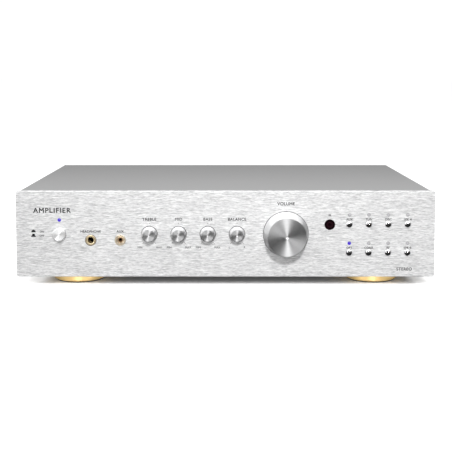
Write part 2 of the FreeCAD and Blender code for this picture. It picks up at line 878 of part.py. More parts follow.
def make_front_sockets():
    """The headphone socket, the AUX socket and their gold-plated rings."""
    phones = (D.phones_x, JACK_HEIGHT)
    aux = (D.aux_x, JACK_HEIGHT)
    rings = Piece("jack_rings", FRONT)
    rings.turn(
        (D.phones_bore, FRAME_BACK),
        (D.phones_rim, FRAME_BACK),
        (D.phones_rim, 0.4),
        (D.phones_rim - 0.4, 0.8),
        (D.phones_rim - 1.1, 0.8),
        (D.phones_bore, 0.2),
        at=phones,
    )
    rings.turn(
        (D.aux_bore, FRAME_BACK),
        (AUX_NECK, FRAME_BACK),
        (AUX_NECK, -D.panel_thick),
        (D.aux_rim, -D.panel_thick),
        (D.aux_rim, 0.3),
        (D.aux_rim - 0.4, 0.7),
        (D.aux_rim - 0.8, 0.7),
        (D.aux_rim - 1.4, -0.4),
        (D.aux_bore + 0.5, -1.7),
        (D.aux_bore, -2.3),
        at=aux,
    )
    wall = 2.0
    jacks = Piece("front_jacks", FRONT)
    for at, depth, width, height, bore in (
        (phones, D.phones_depth, 16.0, 18.0, D.phones_bore + 0.35),
        (aux, D.aux_depth, 12.0, 12.0, D.aux_bore + 0.5),
    ):
        jacks.add(FRAME_BACK - depth, FRAME_BACK, box_at(*at, width, height))
        jacks.cut(FRAME_BACK - depth + wall, FRAME_BACK, circle(*at, bore))


def make_remote_window():
    """The infrared receiver's dark window, which stands a little proud of the fascia."""
    stand, edge = 0.4, 0.3
    window = Piece("remote_window", FRONT)
    window.turn(
        (0, -D.panel_thick),
        (D.remote_radius, -D.panel_thick),
        (D.remote_radius, stand - edge),
        (D.remote_radius - edge, stand),
        (0, stand),
        at=(D.remote_x, D.remote_height),
    )


def make_control_board():
    """The board behind the controls, cut out round the volume potentiometer."""
    low, high = TRAY_TOP + D.board_inset, INNER_TOP - D.board_inset
    left, right = D.tone_x - 14.0, INNER_HALF - D.board_inset
    opening = D.volume_pot_size + 1.0
    receiver_width, receiver_height, receiver_depth = 7.0, 8.0, 5.0
    board = Piece("control_board", FRONT)
    board.add(BOARD_BACK, BOARD_FRONT, box(left, low, right, high))
    board.cut(BOARD_BACK, BOARD_FRONT, box_at(D.volume_x, CONTROL_LINE, opening, opening))
    receiver = box_at(D.remote_x, D.remote_height, receiver_width, receiver_height)
    board.add(BOARD_FRONT, BOARD_FRONT + receiver_depth, receiver)


# ---------------------------------------------------------------- rear connectors


def make_line_sockets():
    """Three stereo pairs of line inputs and a coaxial input: gold sleeves round the moulding's cores."""
    border = D.line_border
    low, high = D.line_low - border, D.line_high + border
    left, right = D.line_x - border, D.line_x + 2 * D.line_pitch + border
    coaxial_size = 14.0
    back, floor, front = -D.line_depth, -12.0, -D.metal
    tip = D.sleeve_reach
    core_tip = tip - 0.4
    room = D.sleeve_radius + 0.1
    core = D.sleeve_inside - 0.05
    block = Piece("line_socket_block", REAR)
    block.add(back, front, box(left, low, right, high))
    block.add(back, front, box_at(*SOCKET_SPOTS[-1], coaxial_size, coaxial_size))
    block.cut(floor, front, *(circle(*at, room) for at in SOCKET_SPOTS))
    block.add(floor, core_tip, *(circle(*at, core) for at in SOCKET_SPOTS))
    block.cut(0, core_tip, *(circle(*at, D.contact_radius) for at in SOCKET_SPOTS))
    flange = 6.2
    sleeve_back = floor + 0.5
    lead_in = 0.3
    sleeves = Piece("socket_sleeves", REAR)
    for at in SOCKET_SPOTS:
        sleeves.turn(
            (D.sleeve_inside, sleeve_back),
            (D.sleeve_radius, sleeve_back),
            (D.sleeve_radius, 0),
            (flange, 0),
            (flange, 1.0),
            (D.sleeve_radius, 1.4),
            (D.sleeve_radius, tip - lead_in),
            (D.sleeve_radius - lead_in, tip),
            (D.sleeve_inside, tip),
            at=at,
        )


def make_optical_socket():
    """The optical input: a square socket behind a sprung shutter that is hinged along its top edge."""
    at = (D.digital_x, D.line_high)
    size, wall = D.optical_size, D.optical_wall
    case = size + 2 * wall
    front, floor = 2.0, 4.0 - D.optical_depth
    rim, rim_thick = case + 3.4, 1.2
    pin, barrel = 0.4, 0.5
    flap_gap, pin_seat = 0.2, 0.6
    hinge_y = D.line_high + size / 2 - barrel - flap_gap
    hinge_z = -D.optical_hinge
    socket = Piece("optical_socket", REAR)
    socket.add(-D.optical_depth, front, box_at(*at, case, case))
    socket.add(0, rim_thick, box_at(*at, rim, rim))
    socket.cut(floor, front, box_at(*at, size, size))
    reach = size / 2 + pin_seat
    pin_ends = (D.digital_x - reach, D.digital_x + reach)
    socket.cut_along_x(*pin_ends, circle(hinge_y, hinge_z, pin + D.running_gap))
    half = size / 2 - flap_gap
    shutter = Piece("optical_shutter", REAR)
    flap = box(D.digital_x - half, D.line_high - half, D.digital_x + half, hinge_y)
    shutter.add(hinge_z - pin, hinge_z + pin, flap)
    shutter.add_along_x(D.digital_x - half, D.digital_x + half, circle(hinge_y, hinge_z, barrel))
    shutter.add_along_x(*pin_ends, circle(hinge_y, hinge_z, pin))


def make_terminals():
    """Speaker terminals A and B: insulating plates, tubular posts for 4 mm plugs, and screw caps."""
    middle = (D.terminal_low + D.terminal_high) / 2
    border = 10.0
    width = D.terminal_pitch * 2 + 2.0
    height = D.terminal_high - D.terminal_low + 2 * border
    spigot, spigot_back = 4.8, -3.0
    post_room = D.post_radius + 0.05
    spots = TERMINALS.values()
    plates = Piece("terminal_plates", REAR)
    for x in (-D.terminal_x, D.terminal_x):
        plates.add(0, D.plate_thick, box_at(x, middle, width, height))
    plates.add(spigot_back, 0, *(circle(*at, spigot) for at in spots))
    plates.cut(spigot_back, D.plate_thick, *(circle(*at, post_room) for at in spots))
    posts = Piece("terminal_posts", REAR)
    for name, at in TERMINALS.items():
        make_post(posts, at)
        make_cap(name, at)


def make_post(posts, at):
    """A post with a collar on the plate, and its blind bore for a 4 mm plug."""
    top, back = TIP - 2.0, -12.0
    bore_floor = 1.5
    posts.turn(
        (0, back),
        (D.post_radius, back),
        (D.post_radius, D.plate_thick),
        (D.post_collar, D.plate_thick),
        (D.post_collar, D.post_seat),
        (D.post_radius, D.post_seat),
        (D.post_radius, top),
        (D.banana_bore, top),
        (D.banana_bore, bore_floor),
        (0, bore_floor),
        at=at,
    )


def make_cap(name, at):
    """A fluted screw cap that turns on its post."""
    bore = D.post_radius + D.running_gap
    low, top = D.post_seat + 0.2, TIP - 1.9
    skirt = D.cap_radius - 1.2
    edge = 0.8
    flutes = 12
    flute_start = low + 3.0
    flute_ring = D.cap_radius + 0.35
    cap = Piece(f"{name}_cap", REAR)
    cap.turn(
        (bore, low),
        (skirt, low),
        (skirt, low + 1.5),
        (D.cap_radius, low + 2.2),
        (D.cap_radius, TIP - edge),
        (D.cap_radius - edge, TIP),
        (D.cap_mouth, TIP),
        (D.cap_mouth, top),
        (bore, top),
        at=at,
    )
    turns = [2 * math.pi * k / flutes for k in range(flutes)]
    centres = [(at[0] + flute_ring * math.cos(a), at[1] + flute_ring * math.sin(a)) for a in turns]
    cap.cut(flute_start, TIP, *(circle(x, y, D.flute_radius) for x, y in centres))


def make_mains_inlet():
    """A three-pin appliance inlet with two screw ears."""
    x, y = D.inlet_x, D.inlet_height
    half_width, half_tall = D.inlet_width / 2, D.inlet_tall / 2
    rim, ear, corner = 1.5, D.inlet_ear + 5.0, 5.0
    wide, tall = half_width + rim, half_tall + rim
    inside_x, inside_y = half_width - D.inlet_wall, half_tall - D.inlet_wall
    bevel, back_wall = 4.0, 3.0
    floor = back_wall - D.inlet_depth
    inlet = Piece("mains_inlet", REAR)
    inlet.add(-D.inlet_depth, 0, box_at(x, y, D.inlet_width, D.inlet_tall))
    inlet.add(
        0,
        D.inlet_face,
        outline(
            (x - ear, y - corner),
            (x - wide, y - tall),
            (x + wide, y - tall),
            (x + ear, y - corner),
            (x + ear, y + corner),
            (x + wide, y + tall),
            (x - wide, y + tall),
            (x - ear, y + corner),
        ),
    )
    inlet.cut(
        floor,
        D.inlet_face,
        outline(
            (x - inside_x, y - inside_y),
            (x + inside_x, y - inside_y),
            (x + inside_x, y + inside_y - bevel),
            (x + inside_x - bevel, y + inside_y),
            (x - inside_x + bevel, y + inside_y),
            (x - inside_x, y + inside_y - bevel),
        ),
    )
    screw_room = D.screw_radius + 0.2
    inlet.cut(0, D.inlet_face, *(circle(x + side * D.inlet_ear, y, screw_room) for side in (-1, 1)))
    pin_width, tag_width, height = 2.0, 0.8, 4.0
    tip, tag_end = D.inlet_face - 2.0, -6.0 - D.inlet_depth
    pins = Piece("inlet_pins", REAR)
    for shift, rise in ((-D.pin_pitch, -2.0), (0, 2.0), (D.pin_pitch, -2.0)):
        pins.add(floor, tip, box_at(x + shift, y + rise, pin_width, height))
        pins.add(tag_end, -D.inlet_depth, box_at(x + shift, y + rise, tag_width, height))


# ---------------------------------------------------------------- inside


def make_transformer():
    """A toroidal mains transformer, wound and taped, that stands on the tray."""
    low, high = TRAY_TOP, TRAY_TOP + D.transformer_height
    outer, inner = D.transformer_radius, D.transformer_hole
    outer_round, inner_round = 9.0, 4.0
    ring = Piece("transformer", PLAN)
    ring.turn((inner, low), (outer, low), (outer, high), (inner, high), at=TRANSFORMER_SPOT)
    ring.dress("Fillet", outer_round, lambda e: rim(outer, low)(e) or rim(outer, high)(e))
    ring.dress("Fillet", inner_round, rim(inner, high))


def make_main_board():
    """The power supply and amplifier board, which stands on standoffs."""
    screw_room = D.screw_radius + 0.2
    edges = box(D.board_left, D.board_front, D.board_right, D.board_rear)
    board = Piece("main_board", PLAN)
    board.add(MAIN_BOARD_Z, BOARD_TOP, edges)
    board.cut(MAIN_BOARD_Z, BOARD_TOP, *(circle(x, y, screw_room) for x, y in BOARD_SPOTS))


def make_heatsink():
    """A finned extrusion across the main board, with the output transistors on its front face."""
    low, high = BOARD_TOP, BOARD_TOP + D.sink_height
    fins = 15
    span = D.sink_right - D.sink_left - D.sink_fin
    web = box(D.sink_left, D.sink_face, D.sink_right, D.sink_face + D.sink_web)
    fin = box(D.sink_left, D.sink_face + D.sink_web, D.sink_left + D.sink_fin, D.sink_back)
    sink = Piece("heatsink", PLAN)
    sink.add(low, high, web)
    sink.add(low, high, fin)
    sink.pattern("X_Axis", span / (fins - 1), fins)
    case_low, case_high = BOARD_TOP + 14.0, BOARD_TOP + 34.0
    case_half, case_front = 8.0, D.sink_face - 5.0
    leg_y, leg_pitch, leg_width, leg_thick = D.sink_face - 3.0, 5.0, 1.0, 0.6
    first, pitch = D.sink_left + 18.0, 34.0
    transistors = Piece("output_transistors", PLAN)
    for k in range(4):
        x = first + k * pitch
        case = box(x - case_half, case_front, x + case_half, D.sink_face)
        transistors.add(case_low, case_high, case)
        leg_xs = [x + side * leg_pitch for side in (-1, 0, 1)]
        legs = (box_at(leg_x, leg_y, leg_width, leg_thick) for leg_x in leg_xs)
        transistors.add(BOARD_TOP, case_low, *legs)


def make_board_parts():
    """The reservoir capacitors and the relays that connect the speakers."""
    radius, top = D.can_radius, BOARD_TOP + D.can_height
    groove = BOARD_TOP + 3.0
    neck = radius - 0.5
    edge = 1.0
    cans = Piece("reservoir_capacitors", PLAN)
    for k in range(4):
        cans.turn(
            (0, BOARD_TOP),
            (radius, BOARD_TOP),
            (radius, groove),
            (neck, groove + 0.5),
            (neck, groove + 1.5),
            (radius, groove + 2.0),
            (radius, top - edge),
            (radius - edge, top),
            (0, top),
            at=(D.can_x + k * D.can_pitch, D.can_y),
        )
    width, length = 24.0, 18.0
    relays = Piece("speaker_relays", PLAN)
    for x in (D.relay_left, D.relay_right):
        outline_at = box_at(x, D.relay_y, width, length)
        relays.add(BOARD_TOP, BOARD_TOP + D.relay_height, outline_at)


def add_screw(screws, at, seat, length, radius, head):
    """A pan-head screw: its head stands on the level seat, and its shank goes down by length."""
    rise = 0.7 * radius
    screws.turn(
        (0, seat - length),
        (radius, seat - length),
        (radius, seat),
        (head, seat),
        (head, seat + rise),
        (radius, seat + 2 * rise),
        (0, seat + 2 * rise),
        at=at,
    )


def make_fasteners():
    """Screws and standoffs of the main board, the feet's screws, the transformer's bolt and dish, and
    the controls' nuts."""
    board_length, foot_length, foot_head = 6.0, 7.0, 3.6
    standoff = 3.5
    thread_gap = 0.05
    thread = D.screw_radius + thread_gap
    fasteners = Piece("inner_fasteners", PLAN)
    for x, y in BOARD_SPOTS:
        fasteners.add(TRAY_TOP, MAIN_BOARD_Z, circle(x, y, standoff), circle(x, y, thread))
        add_screw(fasteners, (x, y), BOARD_TOP, board_length, D.screw_radius, D.screw_head)
    for at in mirrored((D.foot_x, D.foot_y)):
        add_screw(fasteners, at, TRAY_TOP, foot_length, D.foot_screw, foot_head)
    bolt, dish, nut = 3.0, 24.0, 6.0
    top = TRAY_TOP + D.transformer_height
    dish_top, nut_top = top + 1.5, top + 6.0
    fasteners.turn(
        (0, TRAY_TOP),
        (bolt, TRAY_TOP),
        (bolt, top),
        (dish, top),
        (dish, dish_top),
        (nut, dish_top),
        (nut, nut_top),
        (0, nut_top),
        at=TRANSFORMER_SPOT,
    )
    bushes = [(D.volume_x, D.volume_bush)] + [(x, D.tone_bush) for x in TONE_XS]
    for x, bush in bushes:
        ring = [circle(x, CONTROL_LINE, bush + rim) for rim in (D.nut_rim, thread_gap)]
        fasteners.add_along_y(COVER_FRONT - D.nut_thick, COVER_FRONT, *ring)


def make_cover_screws():
    """Three screws through each side of the lid."""
    half = D.cover_width / 2
    head, rise = 3.0, 1.3
    screws = Piece("cover_screws", PLAN)
    heads = [circle(y, D.cover_screw_z, head) for y in COVER_SCREW_YS]
    shanks = [circle(y, D.cover_screw_z, D.screw_radius) for y in COVER_SCREW_YS]
    screws.add_along_x(half, half + rise, *heads)
    screws.add_along_x(half - D.metal, half, *shanks)
    screws.add_along_x(-half - rise, -half, *heads)
    screws.add_along_x(-half, -half + D.metal, *shanks)


def lead(radius, *points):
    """A lead along straight runs joined by tangent arcs, each as large as its two runs allow."""
    spots = [Vector(*(value_of(c) for c in point)) for point in points]
    edges, last = [], spots[0]
    for before, corner, after in zip(spots, spots[1:], spots[2:]):
        into, out = before - corner, after - corner
        reach = 0.45 * min(into.Length, out.Length)
        into.normalize()
        out.normalize()
        start, end = corner + into * reach, corner + out * reach
        half_turn = (math.pi - into.getAngle(out)) / 2
        bend = reach / math.tan(half_turn)
        inward = (into + out).normalize()
        middle = corner + inward * (bend / math.cos(half_turn) - bend)
        edges += [Part.LineSegment(last, start).toShape(), Part.Arc(start, middle, end).toShape()]
        last = end
    edges.append(Part.LineSegment(last, spots[-1]).toShape())
    path = Part.Wire(edges)
    ring = Part.Wire([Part.makeCircle(value_of(radius), spots[0], spots[1] - spots[0])])
    tube = path.makePipeShell([ring], True, False)
    expected = math.pi * value_of(radius) ** 2 * path.Length
    if abs(tube.Volume / expected - 1) > 0.02:
        raise RuntimeError(f"lead: volume {tube.Volume:.0f} where {expected:.0f} is expected")
    return tube


def make_cables():
    """Inside leads: the mains from inlet to switch, and the flat cable between the two boards."""
    inlet_y = REAR_Y - D.inlet_depth - 6.0
    lane = -INNER_HALF + 8.0
    switch_y = FRONT_Y + D.switch_back
    pin_z = D.inlet_height - 2.0
    lane_z, lane_step = 40.0, 5.0
    tag_shift = 6.0
    leads = []
    for k, side in enumerate((1, -1)):
        pin_x = -1 * D.inlet_x - side * D.pin_pitch
        tag_x = D.power_x - side * tag_shift
        height = lane_z + k * lane_step
        route = (
            (pin_x, inlet_y, pin_z),
            (pin_x, inlet_y - 14.0, pin_z),
            (lane, inlet_y - 34.0 - 4.0 * k, height),
            (lane, switch_y + 40.0, height),
            (tag_x, switch_y + 14.0, CONTROL_LINE),
            (tag_x, switch_y, CONTROL_LINE),
        )
        leads.append(lead(D.cable_radius, *route))
    board_back = FRONT_Y - BOARD_BACK
    width, thick, rise, overlap = 26.0, 0.9, 6.0, 10.0
    plug_length, plug_inset = 8.0, 2.0
    run = value_of(D.board_front - board_back + overlap)
    flat_corner = Vector(0, value_of(board_back), value_of(BOARD_TOP) + rise)
    plug_corner = Vector(0, value_of(D.board_front) + plug_inset, value_of(BOARD_TOP))
    flat = Part.makeBox(width, run, thick, flat_corner)
    plug = Part.makeBox(width, plug_length, rise, plug_corner)
    cables = doc.addObject("Part::Feature", "internal_cables")
    cables.Label = "internal_cables"
    cables.Shape = Part.makeCompound(leads + [flat.fuse(plug).removeSplitter()])
    cables.Placement = FreeCAD.Placement()
    return cables


# ---------------------------------------------------------------- the whole amplifier


def check(part):
    shape = part.Shape
    if shape.isNull() or not shape.isValid() or not shape.Solids:
        raise RuntimeError(f"{part.Label} has no valid solid")


def main():
    make_front_panel()
    make_front_frame()
    make_base_tray()
    make_rear_panel()
    make_top_cover()
    make_feet()
    make_rotary_controls()
    make_power_button()
    make_select_buttons()
    make_lights()
    make_front_sockets()
    make_remote_window()
    make_control_board()
    make_line_sockets()
    make_optical_socket()
    make_terminals()
    make_mains_inlet()
    make_transformer()
    make_main_board()
    make_heatsink()
    make_board_parts()
    make_fasteners()
    make_cover_screws()
    cables = make_cables()
    doc.recompute()
    for thing in doc.Objects:
        if "Invalid" in thing.State or "Error" in thing.State:
            raise RuntimeError(f"{thing.Label} failed: {thing.State}")
    parts = [piece.body for piece in PIECES] + [cables]
    for part in parts:
        check(part)
    os.makedirs("parts", exist_ok=True)
    for part in parts:
        part.Shape.exportStep(f"parts/{part.Label}.step")
    print(len(parts), "parts")


main()
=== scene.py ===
"""The looks of an integrated amplifier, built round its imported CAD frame. Everything is in metres."""

import math

import bmesh
import bpy
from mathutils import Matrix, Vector


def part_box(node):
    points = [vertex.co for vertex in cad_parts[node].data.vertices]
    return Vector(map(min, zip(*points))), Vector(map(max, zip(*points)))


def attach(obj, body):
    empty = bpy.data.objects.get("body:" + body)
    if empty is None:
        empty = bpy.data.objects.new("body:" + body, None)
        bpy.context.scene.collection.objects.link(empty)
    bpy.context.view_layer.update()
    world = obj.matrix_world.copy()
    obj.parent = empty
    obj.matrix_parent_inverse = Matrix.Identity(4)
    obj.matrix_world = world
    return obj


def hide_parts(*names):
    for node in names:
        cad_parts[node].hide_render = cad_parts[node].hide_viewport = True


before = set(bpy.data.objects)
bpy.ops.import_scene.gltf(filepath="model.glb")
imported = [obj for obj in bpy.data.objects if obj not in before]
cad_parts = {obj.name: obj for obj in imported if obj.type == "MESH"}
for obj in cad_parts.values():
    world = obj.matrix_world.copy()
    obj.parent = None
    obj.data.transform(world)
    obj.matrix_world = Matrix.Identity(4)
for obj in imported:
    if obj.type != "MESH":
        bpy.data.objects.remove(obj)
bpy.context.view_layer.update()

MM = 0.001
CHASSIS = "chassis"
FRONT, REAR = Vector((0, -1, 0)), Vector((0, 1, 0))
PANEL_LOW, PANEL_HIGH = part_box("front_panel")
FASCIA_Y = PANEL_LOW.y
REAR_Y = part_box("rear_panel")[1].y
TONES = ("treble", "mid", "bass", "balance")
CONTROLS = ("volume", *TONES)
KNOBS = [f"{name}_knob" for name in CONTROLS]
SELECTORS = ("aux", "tuner", "disc", "speaker_a", "optical", "coaxial", "wireless", "speaker_b")

# The headphone socket is the left one of the two gold rings, and AUX the right one.
JACKS_LOW, JACKS_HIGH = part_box("jack_rings")
PHONES_X, AUX_X = JACKS_LOW.x + 5.1 * MM, JACKS_HIGH.x - 5.6 * MM
JACKS_Z = (JACKS_LOW.z + JACKS_HIGH.z) / 2


def middle(node):
    low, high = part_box(node)
    return (low + high) / 2


def cad_nodes(*names):
    return [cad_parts[name] for name in names]


# ---------------------------------------------------------------- shader nodes


class Shader:
    """A material with one Principled shader, whose node tree is built call by call."""

    def __init__(self, name, colour=(0.8, 0.8, 0.8), **values):
        self.material = bpy.data.materials.new(name)
        self.material.use_nodes = True
        self.tree = self.material.node_tree
        self.tree.nodes.clear()
        self.bsdf = self.node("BsdfPrincipled")
        output = self.node("OutputMaterial")
        self.tree.links.new(self.bsdf.outputs[0], output.inputs[0])
        self.set(base_color=(*colour, 1.0), **values)

    def set(self, **values):
        """Sets the shader's sockets: coat_roughness stands for Coat Roughness."""
        for key, value in values.items():
            socket = key.replace("_", " ").title().replace("Ior", "IOR")
            self.feed(self.bsdf.inputs[socket], value)
        return self

    def feed(self, socket, value):
        if isinstance(value, bpy.types.NodeSocket):
            self.tree.links.new(value, socket)
        else:
            socket.default_value = value

    def node(self, kind, inputs=(), **settings):
        made = self.tree.nodes.new(f"ShaderNode{kind}")
        for key, value in settings.items():
            setattr(made, key, value)
        for key, value in dict(inputs).items():
            self.feed(made.inputs[key], value)
        return made

    def math(self, operation, *terms):
        return self.node("Math", dict(enumerate(terms)), operation=operation).outputs[0]

    def place(self, scale=(1, 1, 1), centre=(0, 0, 0)):
        """The point's own coordinates from centre, in metres, times scale."""
        point = self.node("TexCoord").outputs["Object"]
        moved = self.node("VectorMath", {0: point, 1: centre}, operation="SUBTRACT").outputs[0]
        return self.node("VectorMath", {0: moved, 1: scale}, operation="MULTIPLY").outputs[0]

    def noise(self, vector, scale, detail=2.0, roughness=0.5, distortion=0.0):
        inputs = {
            "Vector": vector,
            "Scale": scale,
            "Detail": detail,
            "Roughness": roughness,
            "Distortion": distortion,
        }
        return self.node("TexNoise", inputs).outputs[0]

    def span(self, value, low, high, start=0.25, stop=0.75):
        """Maps value from start..stop to low..high."""
        inputs = {
            "Value": value,
            "From Min": start,
            "From Max": stop,
            "To Min": low,
            "To Max": high,
        }
        return self.node("MapRange", inputs).outputs[0]

    def mix(self, share, first, second):
        made = self.node("Mix", data_type="RGBA")
        self.feed(made.inputs["Factor"], share)
        for socket, colour in ((made.inputs[6], first), (made.inputs[7], second)):
            self.feed(socket, (*colour, 1.0) if isinstance(colour, tuple) else colour)
        return made.outputs[2]

    def bump(self, height, distance, strength):
        inputs = {"Height": height, "Distance": distance, "Strength": strength}
        return self.node("Bump", inputs).outputs[0]

    def radius(self, centre):
        """The distance from an axis along Y through centre, in metres."""
        parts = self.node("SeparateXYZ", {0: self.place(centre=centre)})
        squares = [self.math("MULTIPLY", parts.outputs[k], parts.outputs[k]) for k in (0, 2)]
        return self.math("SQRT", self.math("ADD", *squares))


# ---------------------------------------------------------------- materials


def brushed_aluminium():
    """The fascia: short uneven grain along X under clear anodising."""
    s = Shader("fascia", metallic=0.9, anisotropic=0.15)
    fine = s.noise(s.place((320, 320, 2600)), 1.0, 3.0, 0.6)
    coarse = s.noise(s.place((150, 150, 1700)), 1.0, 3.0, 0.65, 0.3)
    cloud = s.noise(s.place((7, 7, 16)), 1.0, 2.0)
    grain = s.math("ADD", s.math("MULTIPLY", fine, 0.4), s.math("MULTIPLY", coarse, 0.6))
    shade = s.mix(s.span(grain, 0, 1, 0.36, 0.61), (0.48, 0.48, 0.485), (1.0, 1.0, 1.0))
    tone = s.mix(s.span(cloud, 0, 0.05), shade, (0.62, 0.62, 0.63))
    across = s.node("CombineXYZ", {"Z": 1.0}).outputs[0]
    return s.set(
        base_color=tone,
        roughness=s.span(grain, 0.58, 0.70),
        normal=s.bump(grain, 0.00006, 0.5),
        tangent=across,
    ).material


def spun_metal(name, centre, colour=(0.86, 0.86, 0.865), rough=(0.40, 0.52), metallic=0.97):
    """Turned aluminium about an axis along Y: fine rings, and gloss that fans out from the middle."""
    s = Shader(name, metallic=metallic, anisotropic=0.92, anisotropic_rotation=0.25)
    radius = s.radius(centre)
    rings = s.noise(s.node("CombineXYZ", {"X": radius}).outputs[0], 5200, 3.0, 0.7)
    bands = s.noise(s.node("CombineXYZ", {"Y": radius}).outputs[0], 900, 1.0)
    mixed = s.math("ADD", s.math("MULTIPLY", rings, 0.7), s.math("MULTIPLY", bands, 0.3))
    dark = tuple(0.8 * c for c in colour)
    return s.set(
        base_color=s.mix(s.span(mixed, 0, 1, 0.3, 0.7), dark, colour),
        roughness=s.span(mixed, *rough),
        normal=s.bump(mixed, 0.00002, 0.35),
        tangent=s.node("Tangent", direction_type="RADIAL", axis="Y").outputs[0],
    ).material


def polished_metal(name, colour, rough=(0.04, 0.10)):
    """Chrome or gold plating with faint wipe marks."""
    s = Shader(name, metallic=1.0)
    smear = s.noise(s.place((260, 260, 90)), 1.0, 4.0, 0.6)
    dust = s.noise(s.place(), 1800, 2.0)
    worn = tuple(0.86 * c for c in colour)
    return s.set(
        base_color=s.mix(s.span(smear, 0, 1), colour, worn),
        roughness=s.span(smear, *rough),
        normal=s.bump(dust, 0.00001, 0.12),
    ).material


def foot_gold():
    """Satin gold lacquer over the feet's turned sides, finer and paler than the plated connectors."""
    s = Shader("foot_gold", metallic=0.5)
    smear = s.noise(s.place((90, 90, 700)), 1.0, 3.0, 0.6)
    return s.set(
        base_color=s.mix(s.span(smear, 0, 1), (1.0, 0.74, 0.34), (1.0, 0.68, 0.27)),
        roughness=s.span(smear, 0.3, 0.42),
        normal=s.bump(smear, 0.00003, 0.3),
    ).material


def jack_gold():
    """The two socket rings: pale gold plate round the large socket, browner and duller round the small,
    where it darkens towards the hole: painted shade in the socket's mouth.
    """
    s = Shader("jack_gold", metallic=0.6)
    across = s.node("SeparateXYZ", {0: s.place(centre=((PHONES_X + AUX_X) / 2, 0, 0))}).outputs[0]
    small = s.math("GREATER_THAN", across, 0.0)
    # Painted shade: the small ring's colour darkens towards its hole.
    painted_hole_shade = s.span(s.radius((AUX_X, 0, JACKS_Z)), 0, 1, 1.8 * MM, 4.5 * MM)
    smear = s.noise(s.place((260, 260, 90)), 1.0, 4.0, 0.6)
    pale = s.mix(s.span(smear, 0, 1), (0.86, 0.72, 0.48), (0.70, 0.56, 0.34))
    brown_with_painted_shade = s.mix(painted_hole_shade, (0.34, 0.21, 0.11), (0.60, 0.54, 0.43))
    return s.set(
        base_color=s.mix(small, pale, brown_with_painted_shade),
        roughness=s.span(smear, 0.16, 0.3),
        normal=s.bump(smear, 0.00002, 0.2),
    ).material


def powder_coat(name, colour):
    """Satin paint with a very fine orange peel."""
    s = Shader(name, coat_weight=0.12, coat_roughness=0.35)
    peel = s.noise(s.place(), 1500, 3.0, 0.6)
    patch = s.noise(s.place(), 9, 2.0)
    light = tuple(min(1.0, 1.05 * c) for c in colour)
    dark = tuple(0.94 * c for c in colour)
    speck = s.mix(s.span(peel, 0, 1), dark, light)
    return s.set(
        base_color=s.mix(s.span(patch, 0, 0.35), speck, dark),
        roughness=s.span(peel, 0.42, 0.5),
        normal=s.bump(peel, 0.00005, 0.35),
    ).material


def zinc_plate(name, colour=(0.62, 0.63, 0.64)):
    """Folded or turned steel with cloudy zinc plating."""
    s = Shader(name, metallic=1.0)
    cloud = s.noise(s.place(), 45, 5.0, 0.65)
    scratch = s.noise(s.place((1400, 60, 60)), 1.0, 2.0)
    warm = (colour[0] * 0.86, colour[1] * 0.84, colour[2] * 0.76)
    return s.set(
        base_color=s.mix(s.span(cloud, 0, 1), colour, warm),
        roughness=s.span(s.math("ADD", cloud, s.math("MULTIPLY", scratch, 0.3)), 0.26, 0.5, 0.3, 0.9),
        normal=s.bump(scratch, 0.00002, 0.3),
    ).material


def anodised(name, colour):
    """Dyed anodising over an extruded surface, with die lines along Z."""
    s = Shader(name, metallic=0.85)
    lines = s.noise(s.place((900, 900, 12)), 1.0, 2.0)
    light = tuple(c * 1.8 + 0.01 for c in colour)
    return s.set(
        base_color=s.mix(s.span(lines, 0, 1), colour, light),
        roughness=s.span(lines, 0.36, 0.52),
        normal=s.bump(lines, 0.00004, 0.4),
    ).material


def moulded(name, colour, rough=(0.38, 0.5), **values):
    """Moulded plastic with a fine spark-eroded texture and slight flow marks."""
    s = Shader(name, **values)
    texture = s.noise(s.place(), 2600, 3.0, 0.6)
    flow = s.noise(s.place((60, 60, 140)), 1.0, 3.0)
    light = tuple(min(1.0, 1.25 * c + 0.006) for c in colour)
    return s.set(
        base_color=s.mix(s.span(flow, 0, 0.8), colour, light),
        roughness=s.span(texture, *rough),
        normal=s.bump(texture, 0.00003, 0.4),
    ).material


def rubber():
    s = Shader("pad_rubber", sheen_weight=0.15)
    grit = s.noise(s.place(), 1400, 4.0, 0.7)
    return s.set(
        base_color=s.mix(s.span(grit, 0, 1), (0.012, 0.012, 0.012), (0.03, 0.03, 0.031)),
        roughness=s.span(grit, 0.7, 0.9),
        normal=s.bump(grit, 0.0001, 0.5),
    ).material


def infrared_window():
    """A dark maroon filter under a clear skin, with a faintly lighter ring 2.4 mm from its middle."""
    s = Shader("window", coat_weight=0.08, coat_roughness=0.05, specular_ior_level=0.1)
    radius = s.radius(middle("remote_window"))
    off_ring = s.math("ABSOLUTE", s.math("SUBTRACT", radius, 0.0024))
    ring = s.span(off_ring, 0.55, 0.0, 0.0, 0.0007)
    haze = s.noise(s.place(), 500, 2.0)
    filter_colour = s.mix(s.span(haze, 0, 1), (0.002, 0.0005, 0.0009), (0.005, 0.001, 0.002))
    return s.set(
        base_color=s.mix(ring, filter_colour, (0.022, 0.006, 0.010)),
        roughness=s.span(haze, 0.12, 0.2),
    ).material


def lit_light():
    """A lit blue-violet diode under a clear lens, with a slightly uneven glow."""
    s = Shader("lit_light", colour=(0.02, 0.01, 0.10), coat_weight=0.3, coat_roughness=0.1)
    grain = s.noise(s.place(), 3000, 2.0)
    glow = s.mix(s.span(grain, 0, 1), (0.035, 0.018, 0.40), (0.06, 0.035, 0.56))
    return s.set(emission_color=glow, emission_strength=1.0, roughness=s.span(grain, 0.15, 0.3)).material


def clear_light():
    """An unlit lens, grey and slightly milky."""
    s = Shader("clear_light", coat_weight=0.05, coat_roughness=0.3, specular_ior_level=0.2)
    milk = s.noise(s.place(), 1200, 3.0)
    return s.set(
        base_color=s.mix(s.span(milk, 0, 1), (0.20, 0.20, 0.205), (0.28, 0.28, 0.285)),
        roughness=s.span(milk, 0.4, 0.55),
        normal=s.bump(milk, 0.00004, 0.3),
    ).material


